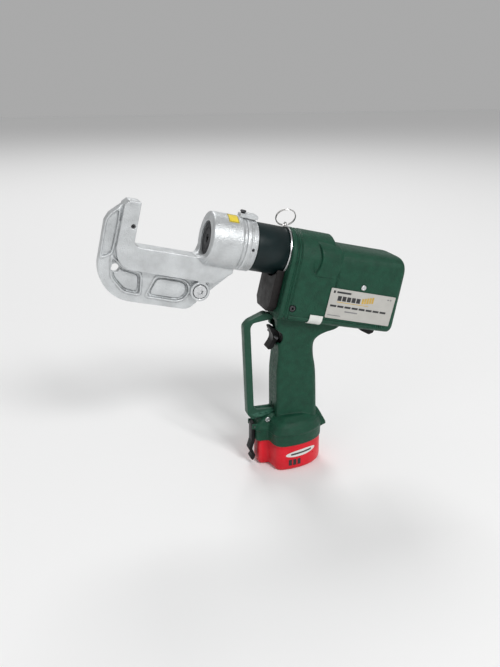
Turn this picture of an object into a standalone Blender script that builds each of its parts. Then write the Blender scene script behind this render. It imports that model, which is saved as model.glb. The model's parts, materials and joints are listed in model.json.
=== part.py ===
"""Cordless hydraulic crimping tool with a C-shaped head, a pistol grip and a slide-on battery.

Units are metres, +Z is up.  The tool stands on its battery, whose flat bottom is centred on the
origin, and its nose points to -X.  The hydraulic barrel is pitched nose-up: everything on it is
modelled in barrel coordinates (X back along the ram's axis, Z up, the ram's axis at z = 0) and is
parented to empties that carry the pitch.
"""
import math

import bmesh
import bpy
from mathutils import Matrix, Vector

# ---------------------------------------------------------------- driving dimensions (metres)
BARREL_PITCH = math.radians(13.2)
BARREL_ORIGIN = (-0.0261, 0.0, 0.2742)
GAP = 0.0003                 # clearance between neighbouring solids

RAM_RADIUS = 0.0200
RAM_FACE_X = -0.0765
RAM_TAIL_X = 0.0
TUBE_RADIUS = 0.0260
TUBE_BORE = 0.0224
HEAD_RADIUS = 0.0313
COLLAR_RADIUS = 0.0300
NECK_RADIUS = 0.0283

WEB_HALF = 0.0060            # half thickness of the head's outer web
BLOCK_HALF = 0.0140          # half thickness of its inner block
POCKET_FLOOR = 0.0035
ANVIL_X = -0.1590
ARM_TOP_Z = 0.0275
THROAT_Z = -0.0207
BLOCK_LINE_Z = -0.0470
HEAD_BACK_X = -0.1935
HEAD_BOTTOM_Z = -0.0840
PLUG_X, PLUG_Z = -0.0755, -0.0595

HOUSE_HALF = 0.0360
HOUSE_FRONT_X = 0.0160
HOUSE_REAR_X = 0.1700
HOUSE_BOTTOM_Z = -0.0744
FRONT_TOP_Z = 0.0297
REAR_TOP_Z = 0.0205
REAR_CORNER = 0.0150
WALL = 0.0026

FOOT_NOSE_X = -0.0438
FOOT_BOTTOM_Z, FOOT_TOP_Z = 0.0335, 0.0685

BATTERY_HALF = 0.0365
BATTERY_NOSE_X = -0.0415
BATTERY_WIDE_X = -0.0120
BATTERY_TAIL_X = 0.0415
STEM_TOP_Z = 0.1100

GUARD_HALF = 0.0060
GUARD_SCREW_Y = 0.0112
GUARD_SCREW_PLACE = (-0.0303, 0.0, 0.0612)
TRIGGER_PIVOT = (-0.0249, 0.0, 0.1690)
TRIGGER_HALF = 0.0080
LATCH_PIVOT = (-0.0468, 0.0, 0.0525)
LEVER_PIVOT = (0.1345, 0.0, -0.0738)       # barrel coordinates
RING_EYE = (0.0116, 0.0, 0.0306)           # barrel coordinates
RING_LEAN = math.radians(30)

TOOTH = 0.0010               # gear module
SUN_TEETH, PLANET_TEETH, RING_TEETH = 12, 12, 36
PLANET_ORBIT = TOOTH * (SUN_TEETH + PLANET_TEETH) / 2
GEAR_X0, GEAR_X1 = 0.0890, 0.0970
PUMP_X = 0.0680              # the plunger's place along the barrel
ECCENTRICITY = 0.0030
DRIVE_Z = -0.0080            # the motor's axis below the ram's axis

# ---------------------------------------------------------------- finishes: colour, roughness, metallic
FINISHES = {
    "forged_steel": ((0.62, 0.63, 0.65), 0.38, 1.0),
    "aluminium": ((0.70, 0.71, 0.72), 0.40, 1.0),
    "steel": ((0.55, 0.55, 0.57), 0.30, 1.0),
    "dark_steel": ((0.10, 0.10, 0.11), 0.40, 1.0),
    "chrome": ((0.80, 0.80, 0.82), 0.12, 1.0),
    "green_plastic": ((0.010, 0.085, 0.055), 0.45, 0.0),
    "black_plastic": ((0.015, 0.015, 0.018), 0.45, 0.0),
    "red_plastic": ((0.62, 0.02, 0.03), 0.40, 0.0),
    "white_label": ((0.85, 0.84, 0.80), 0.35, 0.0),
    "yellow_label": ((0.75, 0.60, 0.05), 0.45, 0.0),
    "rubber": ((0.02, 0.02, 0.02), 0.75, 0.0),
    "brass": ((0.70, 0.50, 0.20), 0.35, 1.0),
    "board": ((0.02, 0.16, 0.06), 0.50, 0.0),
    "cell_wrap": ((0.12, 0.22, 0.45), 0.45, 0.0),
}


# ---------------------------------------------------------------- scene helpers
def clear_scene():
    """Remove every object, so that the script can be run again."""
    for obj in list(bpy.data.objects):
        bpy.data.objects.remove(obj, do_unlink=True)


def finish_material(finish):
    """One Principled material per finish."""
    if finish in bpy.data.materials:
        return bpy.data.materials[finish]
    colour, roughness, metallic = FINISHES[finish]
    material = bpy.data.materials.new(finish)
    material.use_nodes = True
    shader = material.node_tree.nodes["Principled BSDF"]
    shader.inputs["Base Color"].default_value = (*colour, 1.0)
    shader.inputs["Roughness"].default_value = roughness
    shader.inputs["Metallic"].default_value = metallic
    return material


def add_empty(name, location=(0, 0, 0), pitch=0.0, parent=None, roll=0.0):
    """A frame that its children move with; pitch is about Y, roll about X."""
    empty = bpy.data.objects.new(name, None)
    empty.empty_display_size = 0.01
    empty.location = location
    empty.rotation_euler = (roll, pitch, 0.0)
    empty.parent = parent
    bpy.context.scene.collection.objects.link(empty)
    return empty


def add_object(name, bm, parent=None):
    """Turn a bmesh into a named object with its faces pointing out."""
    bmesh.ops.recalc_face_normals(bm, faces=bm.faces)
    mesh = bpy.data.meshes.new(name)
    bm.to_mesh(mesh)
    bm.free()
    obj = bpy.data.objects.new(name, mesh)
    obj.parent = parent
    bpy.context.scene.collection.objects.link(obj)
    return obj


def add_part(name, bm, finish, parent=None, smooth=35):
    """A visible sub-part with its finish."""
    obj = add_object(name, bm, parent)
    obj.data.materials.append(finish_material(finish))
    obj.data.shade_smooth()
    obj.data.set_sharp_from_angle(angle=math.radians(smooth))
    return obj


def add_guide(name, bm, parent=None):
    """A shape that only cuts or joins another one."""
    obj = add_object(name, bm, parent)
    obj.hide_render = True
    obj.display_type = "WIRE"
    return obj


def combine(obj, other, operation):
    """Boolean obj with other: UNION, DIFFERENCE or INTERSECT."""
    step = obj.modifiers.new(other.name, "BOOLEAN")
    step.operation = operation
    step.solver = "EXACT"
    step.object = other
    return obj


def round_edges(obj, width, segments=1, angle=40):
    """Bevel the edges sharper than angle (degrees)."""
    bevel = obj.modifiers.new("round_edges", "BEVEL")
    bevel.width = width
    bevel.segments = segments
    bevel.limit_method = "ANGLE"
    bevel.angle_limit = math.radians(angle)
    bevel.use_clamp_overlap = True
    return obj


# ---------------------------------------------------------------- shape helpers
def arc(cx, cy, radius, start, end, steps):
    """Points on a circle from start to end (degrees), both ends included."""
    points = []
    for i in range(steps + 1):
        angle = math.radians(start + (end - start) * i / steps)
        points.append((cx + radius * math.cos(angle), cy + radius * math.sin(angle)))
    return points


def prism(outline, low, high, axis="Y"):
    """Extrude a closed outline along an axis, from low to high.

    The outline is in (x, z) along Y, in (y, z) along X, and in (x, y) along Z.
    """
    place = {
        "X": lambda u, v, w: (w, u, v),
        "Y": lambda u, v, w: (u, w, v),
        "Z": lambda u, v, w: (u, v, w),
    }[axis]
    bm = bmesh.new()
    loops = [[bm.verts.new(place(u, v, w)) for u, v in outline] for w in (low, high)]
    join_loops(bm, loops[0], loops[1])
    bm.faces.new(loops[0])
    bm.faces.new(loops[1])
    return bm


def join_loops(bm, first, second):
    """Bridge two closed loops of the same length."""
    count = len(first)
    for i in range(count):
        j = (i + 1) % count
        bm.faces.new((first[i], first[j], second[j], second[i]))


def loft(rings):
    """A closed solid through rings of points; its ends are capped."""
    bm = bmesh.new()
    loops = [[bm.verts.new(point) for point in ring] for ring in rings]
    for first, second in zip(loops, loops[1:]):
        join_loops(bm, first, second)
    bm.faces.new(loops[0])
    bm.faces.new(loops[-1])
    return bm


def block(x0, x1, y0, y1, z0, z1):
    """An axis-aligned box."""
    return prism([(x0, z0), (x1, z0), (x1, z1), (x0, z1)], y0, y1)


def turned(profile, steps=32, axis="X", centre=(0, 0, 0)):
    """Turn a profile of (along, radius) points about an axis through centre.

    A profile that starts and ends at radius 0 makes a solid; any other one is a closed tube.
    """
    bm = bmesh.new()
    rings = []
    for along, radius in profile:
        if radius == 0:
            rings.append([bm.verts.new((along, 0, 0))])
            continue
        ring = []
        for i in range(steps):
            angle = 2 * math.pi * i / steps
            ring.append(bm.verts.new((along, radius * math.cos(angle), radius * math.sin(angle))))
        rings.append(ring)
    pairs = list(zip(rings, rings[1:]))
    if profile[0][1] > 0:
        pairs.append((rings[-1], rings[0]))
    for first, second in pairs:
        if len(first) == 1 or len(second) == 1:
            tip, ring = (first[0], second) if len(first) == 1 else (second[0], first)
            for i in range(steps):
                bm.faces.new((tip, ring[i], ring[(i + 1) % steps]))
        else:
            join_loops(bm, first, second)
    turn = {"X": Matrix(), "Y": Matrix.Rotation(math.pi / 2, 4, "Z"),
            "Z": Matrix.Rotation(-math.pi / 2, 4, "Y")}[axis]
    bmesh.ops.transform(bm, matrix=Matrix.Translation(centre) @ turn, verts=bm.verts)
    return bm


def rod(start, end, radius, steps=24, axis="X", centre=(0, 0, 0)):
    """A plain cylinder."""
    return turned([(start, 0), (start, radius), (end, radius), (end, 0)], steps, axis, centre)


def tube(start, end, inner, outer, steps=32, axis="X", centre=(0, 0, 0)):
    """A plain tube."""
    profile = [(start, inner), (start, outer), (end, outer), (end, inner)]
    return turned(profile, steps, axis, centre)


def rounded_rectangle(x0, x1, half, radius, steps=4):
    """A plan outline (x, y), symmetric about y = 0."""
    points = []
    for cx, cy, start in ((x1 - radius, half - radius, 0), (x0 + radius, half - radius, 90),
                          (x0 + radius, radius - half, 180), (x1 - radius, radius - half, 270)):
        points += arc(cx, cy, radius, start, start + 90, steps)
    return points


def swept(path, radius, steps=8, closed=False):
    """A round wire along a path of points."""
    count = len(path)
    bm = bmesh.new()
    loops = []
    for i, point in enumerate(path):
        before = path[(i - 1) % count] if closed or i else path[0]
        after = path[(i + 1) % count] if closed or i + 1 < count else path[-1]
        along = (Vector(after) - Vector(before)).normalized()
        side = along.cross(Vector((0.03, 1.0, 0.02))).normalized()
        lift = along.cross(side)
        loop = []
        for k in range(steps):
            angle = 2 * math.pi * k / steps
            offset = side * math.cos(angle) + lift * math.sin(angle)
            loop.append(bm.verts.new(Vector(point) + offset * radius))
        loops.append(loop)
    for first, second in zip(loops, loops[1:]):
        join_loops(bm, first, second)
    if closed:
        join_loops(bm, loops[-1], loops[0])
    else:
        bm.faces.new(loops[0])
        bm.faces.new(loops[-1])
    return bm


def gear_outline(teeth, turn=0.0, inside=False):
    """A toothed outline, turned by an angle; inside gives the space inside a ring gear."""
    pitch = TOOTH * teeth / 2
    tip, root, wide, narrow = (1.15, 0.80, 0.34, 0.22) if inside else (0.90, 1.15, 0.28, 0.15)
    step = 2 * math.pi / teeth
    points = []
    for i in range(teeth):
        for where, radius in ((-wide, pitch - root * TOOTH), (-narrow, pitch + tip * TOOTH),
                              (narrow, pitch + tip * TOOTH), (wide, pitch - root * TOOTH)):
            angle = turn + (i + where) * step
            points.append((radius * math.cos(angle), radius * math.sin(angle)))
    return points


# ---------------------------------------------------------------- the C head and its fittings
def web_outline():
    """Side view of the head's thin outer web, through the whole C."""
    corner = 0.042
    outline = [(ANVIL_X, ARM_TOP_Z), (-0.1720, ARM_TOP_Z), (-0.1900, 0.0095)]
    outline.append((HEAD_BACK_X, 0.0010))
    outline += arc(HEAD_BACK_X + corner, HEAD_BOTTOM_Z + corner, corner, 180, 270, 8)
    outline += arc(-0.0900, HEAD_BOTTOM_Z + 0.014, 0.014, 270, 330, 3)
    outline += [(-0.0640, -0.0600), (-0.0425, -0.0360), (-0.0425, -0.0120), (-0.0760, -0.0120)]
    outline.append((-0.0760, THROAT_Z))
    outline += arc(ANVIL_X + 0.007, THROAT_Z + 0.007, 0.007, 270, 180, 3)
    return outline


def block_outline():
    """Side view of the head's thick inner block: the arm and the bar."""
    outline = [(ANVIL_X, ARM_TOP_Z), (-0.1715, ARM_TOP_Z), (-0.1765, 0.0225), (-0.1775, -0.0250)]
    outline += arc(-0.1555, BLOCK_LINE_Z + 0.021, 0.021, 190, 270, 5)
    outline += [(-0.0620, -0.0480), (-0.0425, -0.0330), (-0.0425, -0.0117)]
    outline += arc(-0.0870, THROAT_Z + 0.0090, 0.0090, 0, -90, 4)
    outline += arc(ANVIL_X + 0.007, THROAT_Z + 0.007, 0.007, 270, 180, 3)
    return outline


POCKETS = {
    "arm_pocket": [(-0.1895, 0.0020), (-0.1820, 0.0080), (-0.1810, -0.0300), (-0.1895, -0.0360)],
    "corner_pocket": [(-0.1790, -0.0370), (-0.1650, -0.0470), (-0.1450, -0.0500),
                      (-0.1420, -0.0740), (-0.1600, -0.0730), (-0.1760, -0.0590)],
    "bar_pocket": [(-0.1330, -0.0500), (-0.0960, -0.0500), (-0.0890, -0.0560),
                   (-0.0890, -0.0640), (-0.0930, -0.0710), (-0.1000, -0.0740), (-0.1310, -0.0740)],
}


def build_c_head(head):
    """The head casting: web, block, ram boss, pockets and bores in one solid."""
    c_head = add_part("c_head", prism(block_outline(), -BLOCK_HALF, BLOCK_HALF),
                      "forged_steel", head, 30)
    combine(c_head, add_guide("head_web", prism(web_outline(), -WEB_HALF, WEB_HALF), head), "UNION")
    boss = turned([(-0.0788, 0), (-0.0788, 0.0290), (-0.0768, HEAD_RADIUS), (-0.0440, HEAD_RADIUS),
                   (-0.0420, 0.0293), (-0.0383, 0.0293), (-0.0383, 0)], 36)
    combine(c_head, add_guide("ram_boss", boss, head), "UNION")
    lobe = rod(-BLOCK_HALF + 0.0004, BLOCK_HALF - 0.0004, 0.0112, 24, "Y", (PLUG_X, 0, PLUG_Z))
    combine(c_head, add_guide("plug_boss", lobe, head), "UNION")
    bore = turned([(-0.1300, 0), (-0.1300, RAM_RADIUS + GAP), (-0.0597, RAM_RADIUS + GAP),
                   (-0.0597, TUBE_RADIUS + GAP), (-0.0300, TUBE_RADIUS + GAP), (-0.0300, 0)], 36)
    combine(c_head, add_guide("ram_bore", bore, head), "DIFFERENCE")
    for name, outline in POCKETS.items():
        for side in (-1, 1):
            low, high = sorted((side * POCKET_FLOOR, side * (WEB_HALF + 0.002)))
            cutter = add_guide(name, prism(outline, low, high), head)
            combine(c_head, cutter, "DIFFERENCE")
    tie_hole = rod(-0.01, 0.01, 0.0046, 20, "Y", (-0.1735, 0, -0.0490))
    combine(c_head, add_guide("tie_hole", tie_hole, head), "DIFFERENCE")
    plug_hole = rod(-0.02, -0.0080, 0.0082, 24, "Y", (PLUG_X, 0, PLUG_Z))
    combine(c_head, add_guide("plug_hole", plug_hole, head), "DIFFERENCE")
    set_hole = rod(-0.02, -0.0100, 0.0023, 16, "Y", (-0.1634, 0, 0.0010))
    combine(c_head, add_guide("anvil_screw_hole", set_hole, head), "DIFFERENCE")
    seal_groove = tube(-0.0702, -0.0668, RAM_RADIUS - 0.001, 0.0226, 36)
    combine(c_head, add_guide("wiper_groove", seal_groove, head), "DIFFERENCE")


def build_head_fittings(head):
    """Screws, seals, collar, cylinder tube and label that turn with the head."""
    plug = turned([(-0.0112, 0), (-0.0112, 0.0040), (-0.0141, 0.0040), (-0.0141, 0.0070),
                   (-0.0134, 0.0078), (-0.0084, 0.0078), (-0.0084, 0)], 24, "Y", (PLUG_X, 0, PLUG_Z))
    add_part("head_plug_screw", plug, "steel", head)
    add_part("anvil_set_screw", rod(-0.0133, -0.0104, 0.0020, 12, "Y", (-0.1634, 0, 0.0010)),
             "dark_steel", head)
    add_part("ram_wiper_seal", tube(-0.0699, -0.0671, RAM_RADIUS + 0.0002, 0.0223, 28),
             "rubber", head)
    add_part("cylinder_tube", tube(-0.0594, 0.0120, TUBE_BORE, TUBE_RADIUS, 28), "steel", head)
    collar = turned([(-0.0380, 0.0264), (-0.0380, 0.0292), (-0.0372, COLLAR_RADIUS),
                     (-0.0254, COLLAR_RADIUS), (-0.0246, 0.0292), (-0.0246, 0.0264)], 36)
    collar = add_part("swivel_collar", collar, "forged_steel", head)
    hole = rod(-0.0320, -0.0265, 0.0019, 12, "Y", (-0.0300, 0, 0))
    combine(collar, add_guide("collar_hole", hole, head), "DIFFERENCE")
    add_part("collar_set_screw", rod(-0.0290, -0.0271, 0.0016, 12, "Y", (-0.0300, 0, 0)),
             "dark_steel", head)
    lock = prism([(-0.0460, 0.0270), (-0.0240, 0.0270), (-0.0240, 0.0345), (-0.0260, 0.0365),
                  (-0.0440, 0.0365), (-0.0460, 0.0345)], -0.0060, 0.0060)
    lock = add_part("lock_block", lock, "forged_steel", head)
    clear = rod(-0.0500, -0.0200, HEAD_RADIUS + GAP, 36)
    combine(lock, add_guide("lock_seat", clear, head), "DIFFERENCE")
    pin_hole = rod(0.0200, 0.0400, 0.0027, 16, "Z", (-0.0415, 0, 0))
    combine(lock, add_guide("lock_hole", pin_hole, head), "DIFFERENCE")
    label_arc = arc(0, 0, HEAD_RADIUS + 0.0010, 88, 128, 5)
    label_arc += arc(0, 0, HEAD_RADIUS + GAP, 128, 88, 5)
    outline = [(-abs(u) if u < 0 else u, v) for u, v in label_arc]
    add_part("head_label", prism(outline, -0.0610, -0.0480, "X"), "yellow_label", head)


def build_ram(ram):
    """The hollow ram with its die screw, piston seal and return spring."""
    inner = 0.0140
    profile = [(RAM_FACE_X + 0.0040, 0), (RAM_FACE_X + 0.0040, 0.0046), (RAM_FACE_X, 0.0046),
               (RAM_FACE_X, RAM_RADIUS - 0.001), (RAM_FACE_X + 0.001, RAM_RADIUS),
               (-0.0080, RAM_RADIUS), (-0.0080, 0.0221), (-0.0055, 0.0221), (-0.0055, 0.0205),
               (-0.0025, 0.0205), (-0.0025, 0.0221), (RAM_TAIL_X, 0.0221), (RAM_TAIL_X, inner),
               (-0.0640, inner), (-0.0640, 0)]
    add_part("ram", turned(profile, 28), "dark_steel", ram)
    screw = turned([(RAM_FACE_X + 0.0037, 0), (RAM_FACE_X + 0.0037, 0.0042),
                    (RAM_FACE_X + 0.0008, 0.0042), (RAM_FACE_X + 0.0008, 0.0020),
                    (RAM_FACE_X + 0.0020, 0.0020), (RAM_FACE_X + 0.0020, 0)], 12)
    add_part("ram_die_screw", screw, "dark_steel", ram)
    add_part("piston_seal", tube(-0.0053, -0.0027, 0.0207, 0.0222, 28), "rubber", ram)


def build_return_spring(head):
    """Tension spring inside the ram; it is drawn at its length at rest."""
    turns, start, end = 7, -0.0610, 0.0020
    steps = turns * 8
    path = []
    for i in range(steps + 1):
        angle = 2 * math.pi * i / 8
        along = start + (end - start) * i / steps
        path.append((along, 0.0100 * math.cos(angle), 0.0100 * math.sin(angle)))
    add_part("return_spring", swept(path, 0.0011, 4), "steel", head)


def build_lock_pin(lock):
    """Spring pin that stops the head turning; it pulls out of its block."""
    profile = [(0.0320, 0), (0.0320, 0.0024), (0.0369, 0.0024), (0.0369, 0.0034), (0.0384, 0.0034),
               (0.0390, 0.0026), (0.0390, 0)]
    add_part("lock_pin", turned(profile, 16, "Z", (-0.0415, 0, 0)), "dark_steel", lock)


# ---------------------------------------------------------------- neck and front
def build_neck(barrel):
    """Sleeve, rim and the black block under the neck."""
    add_part("neck_sleeve", tube(-0.0243, 0.0182, TUBE_RADIUS + 0.0004, NECK_RADIUS, 28),
             "black_plastic", barrel)
    add_part("neck_rim", tube(0.0138, 0.0157, NECK_RADIUS + GAP, 0.0300, 28), "chrome", barrel)
    outline = [(-0.0240, -0.0180), (-0.0240, -0.0620), (-0.0160, -0.0700), (0.0160, -0.0700),
               (0.0240, -0.0620), (0.0240, -0.0180)]
    front = add_part("front_block", prism(outline, 0.0060, 0.0157, "X"), "black_plastic", barrel)
    clear = rod(0.0, 0.0200, 0.0303, 28)
    combine(front, add_guide("neck_clearance", clear, barrel), "DIFFERENCE")
    round_edges(front, 0.0012)
    eye = prism([(-0.0035, 0.0286), (0.0035, 0.0286), (0.0035, 0.0320)]
                + arc(0, RING_EYE[2], 0.0038, 22, 158, 6) + [(-0.0035, 0.0320)], 0.0108, 0.0124, "X")
    eye = add_part("strap_eye", eye, "chrome", barrel)
    hole = rod(0.0080, 0.0180, 0.0016, 12, "X", (0, 0, RING_EYE[2]))
    combine(eye, add_guide("eye_hole", hole, barrel), "DIFFERENCE")


def build_strap_ring(ring):
    """Split ring that hangs in the eye; its frame's origin is in the eye's hole."""
    radius, forward, sag = 0.0116, 0.0025, 0.0003
    path = [(radius * math.sin(math.radians(a)) - forward, 0,
             radius * (1 - math.cos(math.radians(a))) - sag) for a in range(0, 360, 12)]
    add_part("strap_ring", swept(path, 0.0010, 6, closed=True), "chrome", ring)


# ---------------------------------------------------------------- housing halves
def house_top(x):
    """Height of the housing's top along the barrel."""
    if x < 0.0700:
        return FRONT_TOP_Z
    if x < 0.0780:
        return FRONT_TOP_Z + (REAR_TOP_Z - FRONT_TOP_Z) * (x - 0.0700) / 0.0080
    over = x - (HOUSE_REAR_X - REAR_CORNER)
    if over <= 0:
        return REAR_TOP_Z
    return REAR_TOP_Z - REAR_CORNER + math.sqrt(max(REAR_CORNER ** 2 - over ** 2, 0))


def house_ring(x, inset):
    """One section of the housing: an arched top, flat sides and rounded lower corners."""
    half = HOUSE_HALF - inset
    top = house_top(x) - inset
    bottom = HOUSE_BOTTOM_Z + 0.0195 * (x - HOUSE_FRONT_X) + inset
    shoulder = min(-0.0060, top - 0.0120)
    foot_radius = 0.0080
    power = 2.0 if x < 0.0740 else 3.0
    points = []
    for i in range(13):
        angle = math.pi * i / 12
        across = math.copysign(abs(math.cos(angle)) ** (2 / power), math.cos(angle))
        up = math.sin(angle) ** (2 / power)
        points.append((half * across, shoulder + (top - shoulder) * up))
    points += arc(foot_radius - half, bottom + foot_radius, foot_radius, 180, 270, 3)
    points += arc(half - foot_radius, bottom + foot_radius, foot_radius, 270, 360, 3)
    lean = max(0.0, (x - 0.1000) / (HOUSE_REAR_X - 0.1000))
    return [(x - lean * 0.04 * (z + 0.0690), y, z) for y, z in points]


def house_body(inset):
    """The housing's main body; inset makes the space inside it."""
    front = HOUSE_FRONT_X + inset
    rear = HOUSE_REAR_X - inset
    stations = [(front, inset), (0.0700, inset), (0.0780, inset), (rear - 0.0150, inset),
                (rear - 0.0090, inset), (rear - 0.0045, inset + 0.0002),
                (rear - 0.0014, inset + 0.0011), (rear, inset + 0.0032)]
    return loft([house_ring(x, step) for x, step in stations])


def grip_body(inset):
    """The grip, from inside the foot up into the housing, with its flare at the top rear."""
    rings = []
    for z, front, rear, half in ((0.0525, -0.0200, 0.0330, 0.0190), (0.0765, -0.0205, 0.0325, 0.0190),
                                 (0.1205, -0.0208, 0.0305, 0.0190), (0.1425, -0.0190, 0.0270, 0.0190),
                                 (0.1585, -0.0195, 0.0270, 0.0195), (0.1665, -0.0205, 0.0330, 0.0200),
                                 (0.1715, -0.0210, 0.0440, 0.0205), (0.1755, -0.0215, 0.0580, 0.0210),
                                 (0.1875, -0.0220, 0.0670, 0.0220), (0.2015, -0.0225, 0.0670, 0.0220)):
        plan = rounded_rectangle(front + inset, rear - inset, half - inset, 0.0085 - inset / 2, 3)
        rings.append([(x, y, z) for x, y in plan])
    return loft(rings)


def battery_plan(grow=0.0, nose_x=BATTERY_NOSE_X):
    """Plan outline of the battery and the foot: a narrow nose, then a wide bullet shape."""
    nose = 0.0120 + grow
    wide = BATTERY_HALF + grow
    power = 2.1
    upper = []
    for i in range(9):
        angle = math.pi / 2 * i / 8
        x = BATTERY_WIDE_X + (BATTERY_TAIL_X + grow - BATTERY_WIDE_X) * math.cos(angle) ** (2 / power)
        upper.append((x, wide * math.sin(angle) ** (2 / power)))
    upper += arc(-0.0160, BATTERY_HALF - 0.0110, 0.0110 + grow, 90, 165, 4)
    upper += [(-0.0290 - grow, nose + 0.0030), (-0.0315 - grow, nose + 0.0005)]
    upper += arc(nose_x - grow + 0.0040, nose - 0.0040, 0.0040, 90, 180, 3)
    lower = [(x, -y) for x, y in reversed(upper[1:])]
    return upper + lower


def foot_ring(grow, factor, z):
    """The foot's plan at a height, drawn in towards the wide part's centre."""
    centre = 0.0040
    plan = battery_plan(grow, FOOT_NOSE_X)
    return [(centre + (x - centre) * factor, y * factor, z) for x, y in plan]


def foot_body(inset):
    """The flared foot of the grip, which sits on the battery."""
    base = 0.0010 - inset
    bottom = FOOT_BOTTOM_Z if inset == 0 else FOOT_BOTTOM_Z - 0.0100
    top = FOOT_TOP_Z - inset
    return loft([foot_ring(base, 1.0, bottom), foot_ring(base, 1.0, top - 0.0270),
                 foot_ring(base, 0.97, top - 0.0150), foot_ring(base, 0.85, top - 0.0070),
                 foot_ring(base, 0.64, top - 0.0012), foot_ring(base, 0.46, top)])


def foot_beak():
    """The hook at the back of the foot."""
    outline = [(0.0260, 0.0765), (0.0325, 0.0725), (0.0370, 0.0670), (0.0475, 0.0480),
               (0.0480, 0.0445), (0.0405, 0.0415), (0.0260, 0.0415)]
    return prism(outline, -0.0110, 0.0110)


def shell_guides(barrel):
    """The shapes that join and cut both housing halves."""
    joins = [add_guide("grip_outside", grip_body(0.0)), add_guide("foot_outside", foot_body(0.0)),
             add_guide("beak_outside", foot_beak())]
    for side in (-1, 1):
        low, high = sorted((side * 0.0075, side * 0.0098))
        joins.append(add_guide("latch_lug", block(-0.0500, -0.0395, low, high, 0.0490, 0.0560)))
        low, high = sorted((side * 0.0044, side * 0.0066))
        joins.append(add_guide("lever_lug", block(0.1315, 0.1375, low, high, -0.0765, -0.0715), barrel))
    horn = TRIGGER_HALF + 0.0010
    cuts = [add_guide("body_inside", house_body(WALL), barrel),
            add_guide("grip_inside", grip_body(WALL)),
            add_guide("foot_inside", foot_body(WALL)),
            add_guide("neck_opening", rod(0.0100, 0.0212, NECK_RADIUS + GAP, 38), barrel),
            add_guide("guard_channel", block(-0.0600, -0.0192, -0.0063, 0.0063, 0.0623, 0.0775)),
            add_guide("trigger_pocket", rod(-0.0260, 0.0260, 0.0102, 24, "Y", TRIGGER_PIVOT)),
            add_guide("horn_pocket", block(-0.0400, -0.0168, -horn, horn, 0.1581, 0.1889)),
            add_guide("latch_pin_hole", rod(-0.0120, 0.0120, 0.0014, 12, "Y", LATCH_PIVOT)),
            add_guide("lever_pin_hole", rod(-0.0080, 0.0080, 0.0014, 12, "Y", LEVER_PIVOT), barrel),
            add_guide("front_screw_hole", rod(-0.04, -0.0300, 0.0042, 16, "Y", (0.0310, 0, -0.0584)),
                      barrel),
            add_guide("guard_screw_hole", rod(-0.0180, -0.0066, 0.0018, 12, "Y", GUARD_SCREW_PLACE)),
            add_guide("guard_screw_seat", rod(-0.0250, -GUARD_SCREW_Y, 0.0042, 20, "Y", GUARD_SCREW_PLACE)),
            add_guide("side_screw_hole", rod(-0.04, -0.0300, 0.0026, 16, "Y", (0.1130, 0, -0.0207)),
                      barrel)]
    return joins, cuts


def build_housing(barrel):
    """Two hollow halves that meet on the tool's middle plane."""
    joins, cuts = shell_guides(barrel)
    for name, low, high in (("housing_left", -0.06, -0.00015), ("housing_right", 0.00015, 0.06)):
        shell = add_part(name, house_body(0.0), "green_plastic", barrel, 30)
        for guide in joins:
            combine(shell, guide, "UNION")
        for guide in cuts:
            combine(shell, guide, "DIFFERENCE")
        half = add_guide(name + "_side", block(-0.12, 0.25, low, high, -0.02, 0.40))
        combine(shell, half, "INTERSECT")


def build_housing_trim(barrel):
    """Plates, labels and screws on the housing."""
    face = -HOUSE_HALF - GAP
    plate = prism([(0.0724, -0.0626), (0.1586, -0.0626), (0.1586, -0.0262), (0.0724, -0.0262)],
                  face - 0.0007, face)
    add_part("nameplate", plate, "white_label", barrel)
    tag = prism([(-0.0370, -0.0620)] + arc(-0.0280, -0.0655, 0.0090, 180, 266, 4)
                + arc(-0.0280, -0.0655, 0.0084, 266, 180, 4) + [(-0.0364, -0.0620)],
                0.0540, 0.0705, "X")
    add_part("side_tag", tag, "white_label", barrel)
    front = turned([(-0.0345, 0), (-0.0345, 0.0012), (-0.0352, 0.0012), (-0.0352, 0.0038),
                    (-0.0305, 0.0038), (-0.0305, 0)], 16, "Y", (0.0310, 0, -0.0584))
    add_part("housing_screw_front", front, "dark_steel", barrel)
    side = turned([(-0.0366, 0), (-0.0366, 0.0012), (-0.0374, 0.0012), (-0.0374, 0.0026),
                   (-0.0370, 0.0032), (-0.0363, 0.0032), (-0.0363, 0.0022), (-0.0300, 0.0022),
                   (-0.0300, 0)], 16, "Y", (0.1130, 0, -0.0207))
    add_part("housing_screw_side", side, "steel", barrel)


def build_guard():
    """The hand guard in front of the grip: one bent bar."""
    outline = [(-0.0547, 0.0677), (-0.0594, 0.1822), (-0.0581, 0.1850), (-0.0537, 0.1897),
               (-0.0326, 0.1986), (-0.0285, 0.1968), (-0.0231, 0.1955), (-0.0231, 0.1902),
               (-0.0290, 0.1895), (-0.0473, 0.1870), (-0.0500, 0.1840),
               (-0.0512, 0.1801), (-0.0468, 0.0775), (-0.0455, 0.0750), (-0.0430, 0.0737),
               (-0.0205, 0.0737), (-0.0205, 0.0627), (-0.0450, 0.0627), (-0.0486, 0.0610)]
    guard = add_part("hand_guard", prism(outline, -GUARD_HALF, GUARD_HALF), "green_plastic")
    round_edges(guard, 0.0015)


def build_guard_screw():
    """The screw in the foot's side that holds the guard's lower end."""
    y = -GUARD_SCREW_Y
    profile = [(y - 0.0006, 0), (y - 0.0006, 0.0012), (y - 0.0014, 0.0012), (y - 0.0014, 0.0026),
               (y - 0.0010, 0.0034), (y - GAP, 0.0034), (y - GAP, 0.0015), (y + 0.0040, 0.0015),
               (y + 0.0040, 0)]
    add_part("guard_screw", turned(profile, 16, "Y", GUARD_SCREW_PLACE), "steel")


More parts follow.
